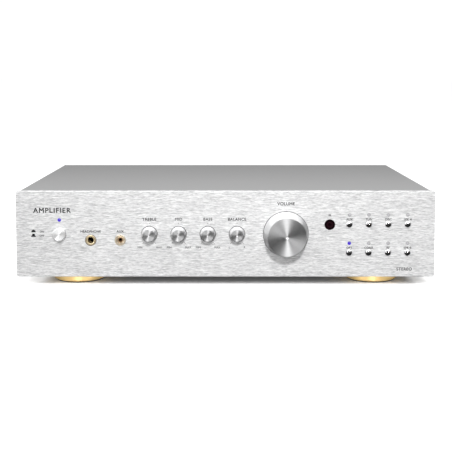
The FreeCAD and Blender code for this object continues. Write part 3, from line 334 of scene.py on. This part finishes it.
def circuit_board():
    """Green lacquer over copper tracks and ground areas."""
    s = Shader("board", coat_weight=0.4, coat_roughness=0.15)
    tracks = s.node("TexBrick", {"Vector": s.place(), "Scale": 160.0, "Mortar Size": 0.025})
    tracks.inputs["Brick Width"].default_value = 1.7
    bare = s.noise(s.place(), 40, 2.0)
    green = s.mix(s.span(bare, 0, 1, 0.45, 0.55), (0.010, 0.075, 0.030), (0.018, 0.12, 0.045))
    return s.set(
        base_color=s.mix(tracks.outputs["Fac"], green, (0.03, 0.19, 0.075)),
        roughness=s.span(bare, 0.28, 0.42),
        normal=s.bump(tracks.outputs["Fac"], 0.00004, 0.5),
    ).material


def winding():
    """Transformer tape wound round the ring: overlapping radial turns."""
    s = Shader("transformer", coat_weight=0.5, coat_roughness=0.2)
    centre = middle("transformer")
    parts = s.node("SeparateXYZ", {0: s.place(centre=centre)})
    angle = s.math("ARCTAN2", parts.outputs[1], parts.outputs[0])
    turns = s.math("PINGPONG", s.math("MULTIPLY", angle, 9.0), 0.5)
    fray = s.noise(s.place(), 260, 3.0)
    lap = s.math("ADD", turns, s.math("MULTIPLY", fray, 0.12))
    return s.set(
        base_color=s.mix(s.span(lap, 0, 1, 0.05, 0.5), (0.42, 0.22, 0.015), (0.80, 0.50, 0.05)),
        roughness=s.span(fray, 0.25, 0.4),
        normal=s.bump(lap, 0.0006, 0.7),
    ).material


def capacitor_sleeve():
    """Shrink sleeve with a pale stripe down one side, and a bare aluminium vent on top."""
    s = Shader("capacitor", coat_weight=0.5, coat_roughness=0.12)
    low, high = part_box("reservoir_capacitors")
    parts = s.node("SeparateXYZ", {0: s.place(centre=(low.x, low.y, high.z))})
    pitch = (high.x - low.x - (high.y - low.y)) / 3
    across = s.math("PINGPONG", parts.outputs[0], pitch / 2)
    stripe = s.math("LESS_THAN", across, 0.006)
    front = s.math("LESS_THAN", parts.outputs[1], 0.010)
    top = s.math("GREATER_THAN", parts.outputs[2], -0.0008)
    wrinkle = s.noise(s.place(), 300, 2.0)
    sleeve = s.mix(s.math("MULTIPLY", stripe, front), (0.012, 0.014, 0.03), (0.45, 0.46, 0.48))
    return s.set(
        base_color=s.mix(top, sleeve, (0.7, 0.7, 0.71)),
        metallic=top,
        roughness=s.span(wrinkle, 0.2, 0.34),
        normal=s.bump(wrinkle, 0.0001, 0.3),
    ).material


def ink(name, colour):
    """Screen-printed ink, a little uneven."""
    s = Shader(name, specular_ior_level=0.15)
    screen = s.noise(s.place(), 4200, 2.0)
    light = tuple(min(1.0, c * 1.5 + 0.01) for c in colour)
    return s.set(
        base_color=s.mix(s.span(screen, 0, 1), colour, light),
        roughness=s.span(screen, 0.5, 0.7),
        normal=s.bump(screen, 0.000008, 0.3),
    ).material


STEEL = zinc_plate("steel")
DARK_STEEL = zinc_plate("dark_steel", (0.05, 0.05, 0.052))
CHROME = polished_metal("chrome", (0.88, 0.88, 0.89))
GOLD = polished_metal("gold", (1.0, 0.70, 0.27), (0.10, 0.2))
BLACK_PLASTIC = moulded("black_plastic", (0.012, 0.012, 0.013))
COVER_PAINT = powder_coat("cover_paint", (0.25, 0.25, 0.251))
INK = ink("printed_ink", (0.008, 0.008, 0.009))
FAINT_INK = ink("faint_ink", (0.05, 0.05, 0.052))
PALE_INK = ink("pale_ink", (0.75, 0.75, 0.74))


def dress_cad_nodes():
    """Gives every CAD node its finished material."""
    black = ("front_jacks", "tact_switches", "power_switch", "output_transistors", "line_socket_block")
    black += ("optical_socket", "optical_shutter", "terminal_plates", "mains_inlet")
    looks = {name: BLACK_PLASTIC for name in black}
    steel = ("front_frame", "base_tray", "inner_fasteners", "potentiometers", "inlet_pins")
    looks.update({name: STEEL for name in steel})
    looks.update({f"{name}_shaft": STEEL for name in CONTROLS})
    looks.update({f"{name}_button": CHROME for name in SELECTORS})
    looks.update({name: GOLD for name in ("socket_sleeves", "terminal_posts")})
    looks["feet"] = foot_gold()
    looks["jack_rings"] = jack_gold()
    looks["front_panel"] = brushed_aluminium()
    looks["top_cover"] = COVER_PAINT
    looks["rear_panel"] = powder_coat("rear_paint", (0.30, 0.30, 0.305))
    looks["foot_pads"] = rubber()
    looks["remote_window"] = infrared_window()
    looks["lights_on"] = lit_light()
    looks["lights_off"] = clear_light()
    board = circuit_board()
    looks["main_board"] = looks["control_board"] = board
    looks["reservoir_capacitors"] = capacitor_sleeve()
    looks["heatsink"] = anodised("black_aluminium", (0.018, 0.018, 0.02))
    looks["speaker_relays"] = moulded("relay", (0.02, 0.05, 0.16), (0.2, 0.3), coat_weight=0.4)
    looks["transformer"] = winding()
    looks["internal_cables"] = moulded("cable", (0.30, 0.30, 0.31), (0.4, 0.55))
    looks["cover_screws"] = DARK_STEEL
    for node in KNOBS:
        looks[node] = spun_metal(node, middle(node))
    white = (1.0, 1.0, 1.0)
    looks["power_button"] = spun_metal("power_button", middle("power_button"), white, (0.42, 0.52), 0.8)
    red = moulded("red_cap", (0.38, 0.008, 0.008), (0.16, 0.26), coat_weight=0.7, coat_roughness=0.08)
    dark = moulded("black_cap", (0.010, 0.010, 0.011), (0.16, 0.26), coat_weight=0.7, coat_roughness=0.08)
    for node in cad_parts:
        if node.endswith("_cap"):
            looks[node] = red if node.endswith("plus_cap") else dark
    for node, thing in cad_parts.items():
        thing.data.materials.clear()
        thing.data.materials.append(looks[node])


# ---------------------------------------------------------------- new pieces


def finish_piece(thing, body, material):
    """Gives a new piece its material, and lets it ride on its body."""
    thing.data.materials.append(material)
    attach(thing, body)
    return thing


def facing(direction):
    """The rotation that turns +Z to direction, with +Y as near upright as it can be."""
    return direction.to_track_quat("Z", "Y")


def legend(text, x, z, height, material=None, facing_rear=False, tracking=1.0):
    """A printed word on the fascia or the rear panel, centred on x, z, with letters of that height."""
    letter_share = 0.729  # a capital's height as a share of the font's size
    curve = bpy.data.curves.new(f"legend_{text}", "FONT")
    curve.body = text
    curve.size = height / letter_share
    curve.align_x = "CENTER"
    curve.space_character = tracking
    curve.extrude = 0.012 * MM
    curve.bevel_depth = 0.03 * height
    curve.bevel_resolution = 0
    side = "rear" if facing_rear else "front"
    words = text.lower().replace(" ", "_")
    name = f"{side}_{words}_{round(x / MM)}_{round(z / MM)}".replace("-", "m")
    thing = bpy.data.objects.new(name, curve)
    bpy.context.scene.collection.objects.link(thing)
    proud = 0.02 * MM
    y = REAR_Y + proud if facing_rear else FASCIA_Y - proud
    thing.location = (x, y, z - height / 2)
    thing.rotation_euler = (math.pi / 2, 0, math.pi if facing_rear else 0)
    return finish_piece(thing, CHASSIS, material or (PALE_INK if facing_rear else INK))


def link_mesh(name, mesh, body, material, smooth=True):
    """Makes an object of a bmesh, with every face turned outwards."""
    bmesh.ops.recalc_face_normals(mesh, faces=mesh.faces)
    data = bpy.data.meshes.new(name)
    mesh.to_mesh(data)
    mesh.free()
    thing = bpy.data.objects.new(name, data)
    bpy.context.scene.collection.objects.link(thing)
    if smooth:
        data.shade_smooth()
        edges = thing.modifiers.new("edges", "EDGE_SPLIT")
        edges.split_angle = math.radians(32)
    return finish_piece(thing, body, material)


def add_flat(mesh, points, y, thickness, direction):
    """Adds a closed flat shape in the XZ plane: points are (x, z), and it stands proud along direction."""
    levels = (y, y + thickness * direction.y)
    rings = [[mesh.verts.new((x, level, z)) for x, z in points] for level in levels]
    for ring in rings:
        mesh.faces.new(ring)
    count = len(points)
    for k in range(count):
        n = (k + 1) % count
        mesh.faces.new((rings[0][k], rings[0][n], rings[1][n], rings[1][k]))


def disc(x, z, radius):
    count = 20
    steps = (2 * math.pi * k / count for k in range(count))
    return [(x + radius * math.cos(a), z + radius * math.sin(a)) for a in steps]


def bar(x, z, angle, inner, outer, width):
    """A printed line that points away from x, z; angle is clockwise from 12 o'clock, in degrees."""
    a = math.radians(angle)
    along, across = Vector((math.sin(a), math.cos(a))), Vector((math.cos(a), -math.sin(a)))
    here = Vector((x, z))
    ends = ((inner, -1), (outer, -1), (outer, 1), (inner, 1))
    return [tuple(here + along * reach + across * (side * width / 2)) for reach, side in ends]


def add_turned(mesh, at, direction, rings, segments):
    """Adds a turned solid: rings are (radius, height), from the first closed end to the last. A radius
    may be a function of the angle."""
    turn = facing(direction)
    loops = []
    for radius, height in rings:
        loop = []
        for k in range(segments):
            a = 2 * math.pi * k / segments
            r = radius(a) if callable(radius) else radius
            loop.append(mesh.verts.new(at + turn @ Vector((r * math.cos(a), r * math.sin(a), height))))
        loops.append(loop)
    for before, after in zip(loops, loops[1:]):
        for k in range(segments):
            n = (k + 1) % segments
            mesh.faces.new((before[k], before[n], after[n], after[k]))
    mesh.faces.new(loops[0])
    mesh.faces.new(loops[-1])


def add_ring(mesh, at, direction, inner, outer, rise, segments=40):
    """Adds a flat ring with a hole, as a closed band."""
    turn = facing(direction)
    profile = ((inner, 0.0), (outer, 0.0), (outer, rise), (inner, rise))
    loops = []
    for radius, height in profile:
        steps = (2 * math.pi * k / segments for k in range(segments))
        spots = (Vector((radius * math.cos(a), radius * math.sin(a), height)) for a in steps)
        loops.append([mesh.verts.new(at + turn @ spot) for spot in spots])
    for before, after in zip(loops, loops[1:] + loops[:1]):
        for k in range(segments):
            n = (k + 1) % segments
            mesh.faces.new((before[k], before[n], after[n], after[k]))


def hexagon(across_flats):
    """The radius of a hexagon as a function of the angle."""
    third, sixth = math.pi / 3, math.pi / 6
    return lambda a: across_flats / 2 / math.cos((a + sixth) % third - sixth)


def cross(half_length, half_width):
    """The radius of a cross recess as a function of the angle."""
    quarter, eighth = math.pi / 2, math.pi / 4

    def radius(a):
        off = abs((a + eighth) % quarter - eighth)
        return min(half_length, half_width / max(math.sin(off), 1e-6))

    return radius


def add_screw(mesh, at, direction, radius, rise, recess):
    """A domed screw head on a surface at at, with a recess of that outline."""
    rings = [
        (radius, 0.0),
        (radius, rise * 0.35),
        (radius * 0.93, rise * 0.62),
        (radius * 0.78, rise * 0.86),
        (radius * 0.62, rise),
        (recess, rise),
        (recess, rise * 0.3),
    ]
    add_turned(mesh, at, direction, rings, 48)


# ---------------------------------------------------------------- the fascia's print, and rings of painted shade


def print_fascia():
    """Words, dial marks and switch symbols. They are plain functional words in place of any maker's."""
    control_z = middle("volume_shaft").z
    legend("VOLUME", middle("volume_knob").x, control_z + 30.8 * MM, 3.1 * MM, tracking=1.08)
    marks = bmesh.new()
    thickness = 0.03 * MM
    for tone in TONES:
        x = middle(f"{tone}_knob").x
        legend(tone.upper(), x, control_z + 15.1 * MM, 2.9 * MM, tracking=1.1)
        ends = ("L", "R") if tone == "balance" else ("MIN", "MAX")
        for word, side in zip(ends, (-1, 1)):
            reach = (7.6 if tone == "balance" else 9.5) * MM
            legend(word, x + side * reach, control_z - 13.4 * MM, 2.0 * MM, FAINT_INK)
            tick = bar(x, control_z, side * 146, 9.6 * MM, 12.2 * MM, 0.28 * MM)
            add_flat(marks, tick, FASCIA_Y, thickness, FRONT)
        add_flat(marks, disc(x, control_z + 10.9 * MM, 0.32 * MM), FASCIA_Y, thickness, FRONT)
    legend("HEADPHONE", PHONES_X, JACKS_Z + 9.0 * MM, 2.4 * MM, tracking=1.06)
    legend("AUX", AUX_X, JACKS_Z + 9.0 * MM, 2.4 * MM, tracking=1.06)
    window = middle("remote_window")
    legend("IR", window.x, window.z + 9.7 * MM, 2.3 * MM)
    words = dict(zip(SELECTORS, ("AUX", "TUN", "DISC", "SPK A", "OPT", "COAX", "RF", "SPK B")))
    for name, word in words.items():
        button = middle(f"{name}_button")
        legend(word, button.x, button.z + 5.3 * MM, 2.2 * MM, tracking=1.05)
    power = middle("power_button")
    legend("AMPLIFIER", power.x - 7.2 * MM, control_z + 24.2 * MM, 5.2 * MM, tracking=1.18)
    corner_x = middle("speaker_b_button").x - 3.0 * MM
    legend("STEREO", corner_x, PANEL_LOW.z + 7.9 * MM, 3.1 * MM, tracking=1.08)
    symbol_x = power.x - 26.0 * MM
    for word, dz in (("ON", 2.6), ("OFF", -1.6)):
        legend(word, power.x - 17.6 * MM, control_z + dz * MM, 2.0 * MM, FAINT_INK)
    add_flat(marks, pressed_symbol(symbol_x, control_z + 1.8 * MM), FASCIA_Y, thickness, FRONT)
    add_flat(marks, released_symbol(symbol_x, control_z - 2.8 * MM), FASCIA_Y, thickness, FRONT)
    link_mesh("fascia_marks", marks, CHASSIS, INK, smooth=False)


def pressed_symbol(x, z):
    """A dome: the button is in."""
    half, rise = 2.2 * MM, 2.7 * MM
    steps = [math.pi * k / 10 for k in range(11)]
    return [(x + half * math.cos(a), z + rise * math.sin(a)) for a in steps]


def released_symbol(x, z):
    """A raised block between two flanges: the button is out."""
    shape = ((-2.4, 0), (2.4, 0), (2.4, 1.1), (1.6, 1.1), (1.3, 3.2), (-1.3, 3.2), (-1.6, 1.1), (-2.4, 1.1))
    return [(x + px * MM, z + pz * MM) for px, pz in shape]


def make_painted_shade_rings():
    """Thin black rings as painted shade: round each knob's base, and at the headphone socket's rim and
    mouth.
    """
    mesh = bmesh.new()
    shows, hidden, thickness = 0.4 * MM, 0.6 * MM, 0.12 * MM
    # Painted shade: a black ring shows round each knob's base, where its gap shadow falls.
    for node in KNOBS:
        low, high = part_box(node)
        centre = Vector((middle(node).x, FASCIA_Y, middle(node).z))
        edge = (high.x - low.x) / 2
        add_ring(mesh, centre, FRONT, edge - hidden, edge + shows, thickness, 96)
    # Painted shade: black rings at the headphone socket's rim and inside its mouth.
    socket = Vector((PHONES_X, FASCIA_Y, JACKS_Z))
    add_ring(mesh, socket, FRONT, 4.9 * MM, 5.7 * MM, thickness, 64)
    socket.y = JACKS_LOW.y
    add_ring(mesh, socket, FRONT, 4.0 * MM, 4.55 * MM, 0.04 * MM, 64)
    link_mesh("painted_shade_rings", mesh, CHASSIS, BLACK_PLASTIC)


# ---------------------------------------------------------------- sides and back


def make_cover_screws():
    """Socket-head screws in place of the CAD model's plain ones."""
    low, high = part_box("cover_screws")
    cover_low, cover_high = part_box("top_cover")
    z = (low.z + high.z) / 2
    radius = (high.z - low.z) / 2
    mesh = bmesh.new()
    for y in (low.y + radius, (low.y + high.y) / 2, high.y - radius):
        for x, direction in ((cover_low.x, Vector((-1, 0, 0))), (cover_high.x, Vector((1, 0, 0)))):
            add_screw(mesh, Vector((x, y, z)), direction, radius, 1.25 * MM, hexagon(2.2 * MM))
    screws = link_mesh("cover_socket_screws", mesh, CHASSIS, DARK_STEEL)
    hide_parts("cover_screws")


def make_rear_details():
    """Colour rings in the line sockets, screws round the connectors, and plain printed words."""
    sleeves_low, sleeves_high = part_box("socket_sleeves")
    flange = 6.2 * MM
    tip = sleeves_high.y - 0.4 * MM
    rows = (sleeves_high.z - flange, sleeves_low.z + flange)
    coaxial_x = sleeves_low.x + flange
    pitch = 18.0 * MM
    columns = [sleeves_high.x - flange - k * pitch for k in range(3)]
    rings = {
        "white_insert": (0.72, 0.72, 0.70),
        "red_insert": (0.5, 0.015, 0.012),
        "orange_insert": (0.75, 0.22, 0.01),
    }
    spots = {
        "white_insert": [(x, rows[0]) for x in columns],
        "red_insert": [(x, rows[1]) for x in columns],
        "orange_insert": [(coaxial_x, rows[1])],
    }
    for name, colour in rings.items():
        mesh = bmesh.new()
        for x, z in spots[name]:
            add_ring(mesh, Vector((x, tip, z)), REAR, 1.75 * MM, 3.3 * MM, 0.25 * MM)
        link_mesh(name, mesh, CHASSIS, moulded(name, colour, (0.25, 0.4)))
    for k, x in enumerate(columns):
        legend(f"LINE {k + 1}", x, rows[0] + 10.5 * MM, 2.2 * MM, facing_rear=True)
    for word, z in (("L", rows[0]), ("R", rows[1])):
        legend(word, columns[0] + 9.5 * MM, z, 2.4 * MM, facing_rear=True)
    legend("COAXIAL", coaxial_x, rows[1] - 10.0 * MM, 2.2 * MM, facing_rear=True)
    legend("OPTICAL", coaxial_x, rows[0] + 10.5 * MM, 2.2 * MM, facing_rear=True)
    plates_low, plates_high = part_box("terminal_plates")
    centres = ((plates_low.x + 20 * MM, "SPEAKERS B"), (plates_high.x - 20 * MM, "SPEAKERS A"))
    for x, word in centres:
        legend(word, x, plates_high.z + 4.0 * MM, 2.6 * MM, facing_rear=True, tracking=1.1)
        for side, letter in ((-1, "R"), (1, "L")):
            legend(letter, x + side * 9.5 * MM, plates_low.z - 3.6 * MM, 2.4 * MM, facing_rear=True)
    inlet = middle("mains_inlet")
    legend("MAINS", inlet.x, inlet.z + 16.5 * MM, 2.4 * MM, facing_rear=True)
    screws = bmesh.new()
    face = plates_high.y
    for x, _ in centres:
        for z in (plates_low.z + 4.0 * MM, plates_high.z - 4.0 * MM):
            add_screw(screws, Vector((x, face, z)), REAR, 2.4 * MM, 1.2 * MM, cross(1.4 * MM, 0.32 * MM))
    inlet_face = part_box("mains_inlet")[1].y
    for side in (-1, 1):
        spot = Vector((inlet.x + side * 20.0 * MM, inlet_face, inlet.z))
        add_screw(screws, spot, REAR, 2.7 * MM, 1.2 * MM, cross(1.5 * MM, 0.35 * MM))
    link_mesh("rear_screws", screws, CHASSIS, DARK_STEEL)


# ---------------------------------------------------------------- stage


def link_light(thing, others, state):
    """Makes a light or a glowing card reach only the others ("INCLUDE"), or all but them ("EXCLUDE")."""
    linked = bpy.data.collections.new(f"{thing.name}_links")
    for other in others:
        linked.objects.link(other)
    for entry in linked.collection_objects:
        entry.light_linking.link_state = state
    thing.light_linking.receiver_collection = linked


def softbox(name, centre, towards, width, height, radiance):
    """An area light that isn't seen directly. Radiance 1.0 looks as bright as a white page."""
    light = bpy.data.lights.new(name, "AREA")
    light.shape = "RECTANGLE"
    light.size, light.size_y = width, height
    light.energy = radiance * width * height * math.pi
    thing = bpy.data.objects.new(name, light)
    thing.location = centre
    thing.rotation_euler = (Vector(towards) - Vector(centre)).to_track_quat("-Z", "Y").to_euler()
    thing.visible_camera = False
    bpy.context.scene.collection.objects.link(thing)
    return thing


def stage_surface(name, corners, colour, radiance=0.0):
    """A flat piece of the studio."""
    mesh = bmesh.new()
    mesh.faces.new([mesh.verts.new(c) for c in corners])
    data = bpy.data.meshes.new(name)
    mesh.to_mesh(data)
    mesh.free()
    thing = bpy.data.objects.new(name, data)
    shader = Shader(name, colour, roughness=0.9, specular_ior_level=0.0)
    shader.set(emission_color=(1, 1, 1, 1), emission_strength=radiance)
    data.materials.append(shader.material)
    bpy.context.scene.collection.objects.link(thing)
    return thing


def reflection_card(name, corners, radiance):
    """A card that only glossy surfaces see."""
    thing = stage_surface(name, corners, (0, 0, 0), radiance)
    thing.visible_camera = thing.visible_diffuse = thing.visible_shadow = False
    thing.data.materials[0].cycles.emission_sampling = "NONE"
    return thing


def level_square(half, z):
    return [(-half, -half, z), (half, -half, z), (half, half, z), (-half, half, z)]


def make_surround():
    """Returns a white floor, under a white sky. Polished pieces see a dark room in their place, so that
    their edges read."""
    floor = stage_surface("floor", level_square(40.0, 0.0), (0.93, 0.93, 0.93), 0.04)
    floor.visible_glossy = False
    reflection_card("dark_floor", level_square(20.0, -0.001), 0.03)
    reflection_card("dim_ceiling", level_square(20.0, 3.0), 0.5)
    far = 6.0
    for k, (x, y) in enumerate(((-1, 0), (1, 0), (0, -1), (0, 1))):
        ends = [(far * x - side * far * y, far * y + side * far * x) for side in (-1, 1)]
        corners = [(*ends[0], 0), (*ends[1], 0), (*ends[1], 3.0), (*ends[0], 3.0)]
        reflection_card(f"dim_wall_{k}", corners, 0.06)
    left_card = [(-1.6, -2.2, 0.12), (-1.6, -0.2, 0.12), (-1.6, -0.2, 1.2), (-1.6, -2.2, 1.2)]
    reflection_card("left_card", left_card, 1.4)
    world = bpy.data.worlds.new("studio")
    bpy.context.scene.world = world
    world.use_nodes = True
    background = world.node_tree.nodes["Background"]
    background.inputs[0].default_value = (1.0, 1.0, 1.0, 1.0)
    background.inputs[1].default_value = 1.05
    return floor


def make_knob_cards():
    """Cards that only the turned pieces reflect. They lie mostly to the left, so the gloss that fans out
    from the middle of each knob is darkest towards the upper right and the lower left."""
    knobs = cad_nodes(*KNOBS)
    turned = cad_nodes(*KNOBS, "power_button")
    front_left = [(-0.5, -2.6, 0), (-2.0, -1.6, 0), (-2.0, -1.6, 1.2), (-0.5, -2.6, 1.2)]
    near_left = [(-2.0, -2.6, 0.001), (0.0, -2.6, 0.001), (0.0, -0.47, 0.001), (-2.0, -0.47, 0.001)]
    upper = [(-2.0, -2.2, 1.0), (0.9, -2.2, 1.0), (0.9, -2.2, 2.6), (-2.0, -2.2, 2.6)]
    cards = (
        ("front_left_card", front_left, 1.9),
        ("near_left_card", near_left, 0.9),
        ("upper_card", upper, 1.2),
    )
    for name, corners, radiance in cards:
        link_light(reflection_card(name, corners, radiance), turned, "INCLUDE")
    beside = ((0.24, -0.4), (1.5, -0.4), (1.5, 0.1), (0.24, 0.1))
    for side in (-1, 1):
        corners = [(side * x, y, 0.002) for x, y in beside]
        link_light(reflection_card(f"side_card_{side + 1}", corners, 0.7), knobs, "INCLUDE")


def light_floor(floor):
    """Soft light on the floor alone, from the front and both sides, so that the shadow under the fascia
    fades towards its edges."""
    under_fascia = Vector((0, FASCIA_Y, 0))
    front = softbox("floor_light", under_fascia + Vector((0, -1.3, 0.95)), under_fascia, 1.2, 1.1, 8.6)
    link_light(front, [floor], "INCLUDE")
    for side, height, radiance in ((-1, 0.49, 38.0), (1, 0.70, 19.0)):
        corner = Vector((side * PANEL_HIGH.x, FASCIA_Y, 0))
        above = corner + Vector((side, -0.5, height))
        beside = softbox(f"side_light_{side + 1}", above, corner, 0.8, 0.26, radiance)
        link_light(beside, [floor], "INCLUDE")


def make_lights(floor):
    """A key light high in front, which is softer for the knobs, softboxes above and to the left, two low
    ones that even out the fascia, and two lamps that make the gold of the front feet shine."""
    knobs, fascia, feet = cad_nodes(*KNOBS), cad_nodes("front_panel"), cad_nodes("feet", "foot_pads")
    middle_of_fascia = (0, FASCIA_Y, 0.05)
    key_place = (0.12, FASCIA_Y - 1.95, 1.12)
    top = softbox("top_softbox", (0.0, -0.17, 0.42), (0, -0.16, 0.1), 1.2, 0.12, 5.0)
    left = softbox("left_softbox", (-1.1, -1.5, 0.85), middle_of_fascia, 0.4, 0.4, 2.5)
    key = softbox("key_light", key_place, middle_of_fascia, 0.2, 0.2, 222.0)
    soft_key = softbox("soft_key_light", key_place, middle_of_fascia, 0.5, 0.2, 48.0)
    low = softbox("low_softbox", (0.1, FASCIA_Y - 1.1, 0.05), middle_of_fascia, 1.4, 0.08, 4.4)
    near = softbox("near_softbox", (0.15, FASCIA_Y - 0.1, 0.006), (0.15, FASCIA_Y, 0.01), 0.7, 0.01, 1.6)
    link_light(top, [floor], "EXCLUDE")
    link_light(left, [floor], "EXCLUDE")
    link_light(key, [floor, *knobs], "EXCLUDE")
    link_light(soft_key, knobs, "INCLUDE")
    link_light(low, fascia, "INCLUDE")
    link_light(near, fascia, "INCLUDE")
    foot_radius, foot_depth = 27 * MM, 15 * MM
    foot_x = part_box("feet")[1].x - foot_radius
    for side in (-1, 1):
        foot = Vector((side * foot_x, FASCIA_Y + foot_depth, 6 * MM))
        lamp = softbox(f"foot_light_{side + 1}", foot + Vector((0, -0.28, 0.014)), foot, 0.10, 0.02, 60.0)
        link_light(lamp, feet, "INCLUDE")


def make_camera():
    """The camera looks at the fascia from a little above it. It tilts only part of the way down, and a
    lens shift does the rest, which keeps the fascia's sides nearly upright."""
    tilt = math.radians(4.5)
    camera = bpy.data.cameras.new("camera")
    camera.lens = 74.62
    camera.shift_x, camera.shift_y = 0.0017, -0.1735
    thing = bpy.data.objects.new("camera", camera)
    thing.location = (-0.0002, FASCIA_Y - 0.930, PANEL_HIGH.z + 0.117)
    thing.rotation_euler = (math.pi / 2 - tilt, 0, 0)
    bpy.context.scene.collection.objects.link(thing)
    bpy.context.scene.camera = thing


make_camera()
dress_cad_nodes()
print_fascia()
make_painted_shade_rings()
make_cover_screws()
make_rear_details()
studio_floor = make_surround()
make_knob_cards()
light_floor(studio_floor)
make_lights(studio_floor)
bpy.context.scene.view_settings.view_transform = "Standard"
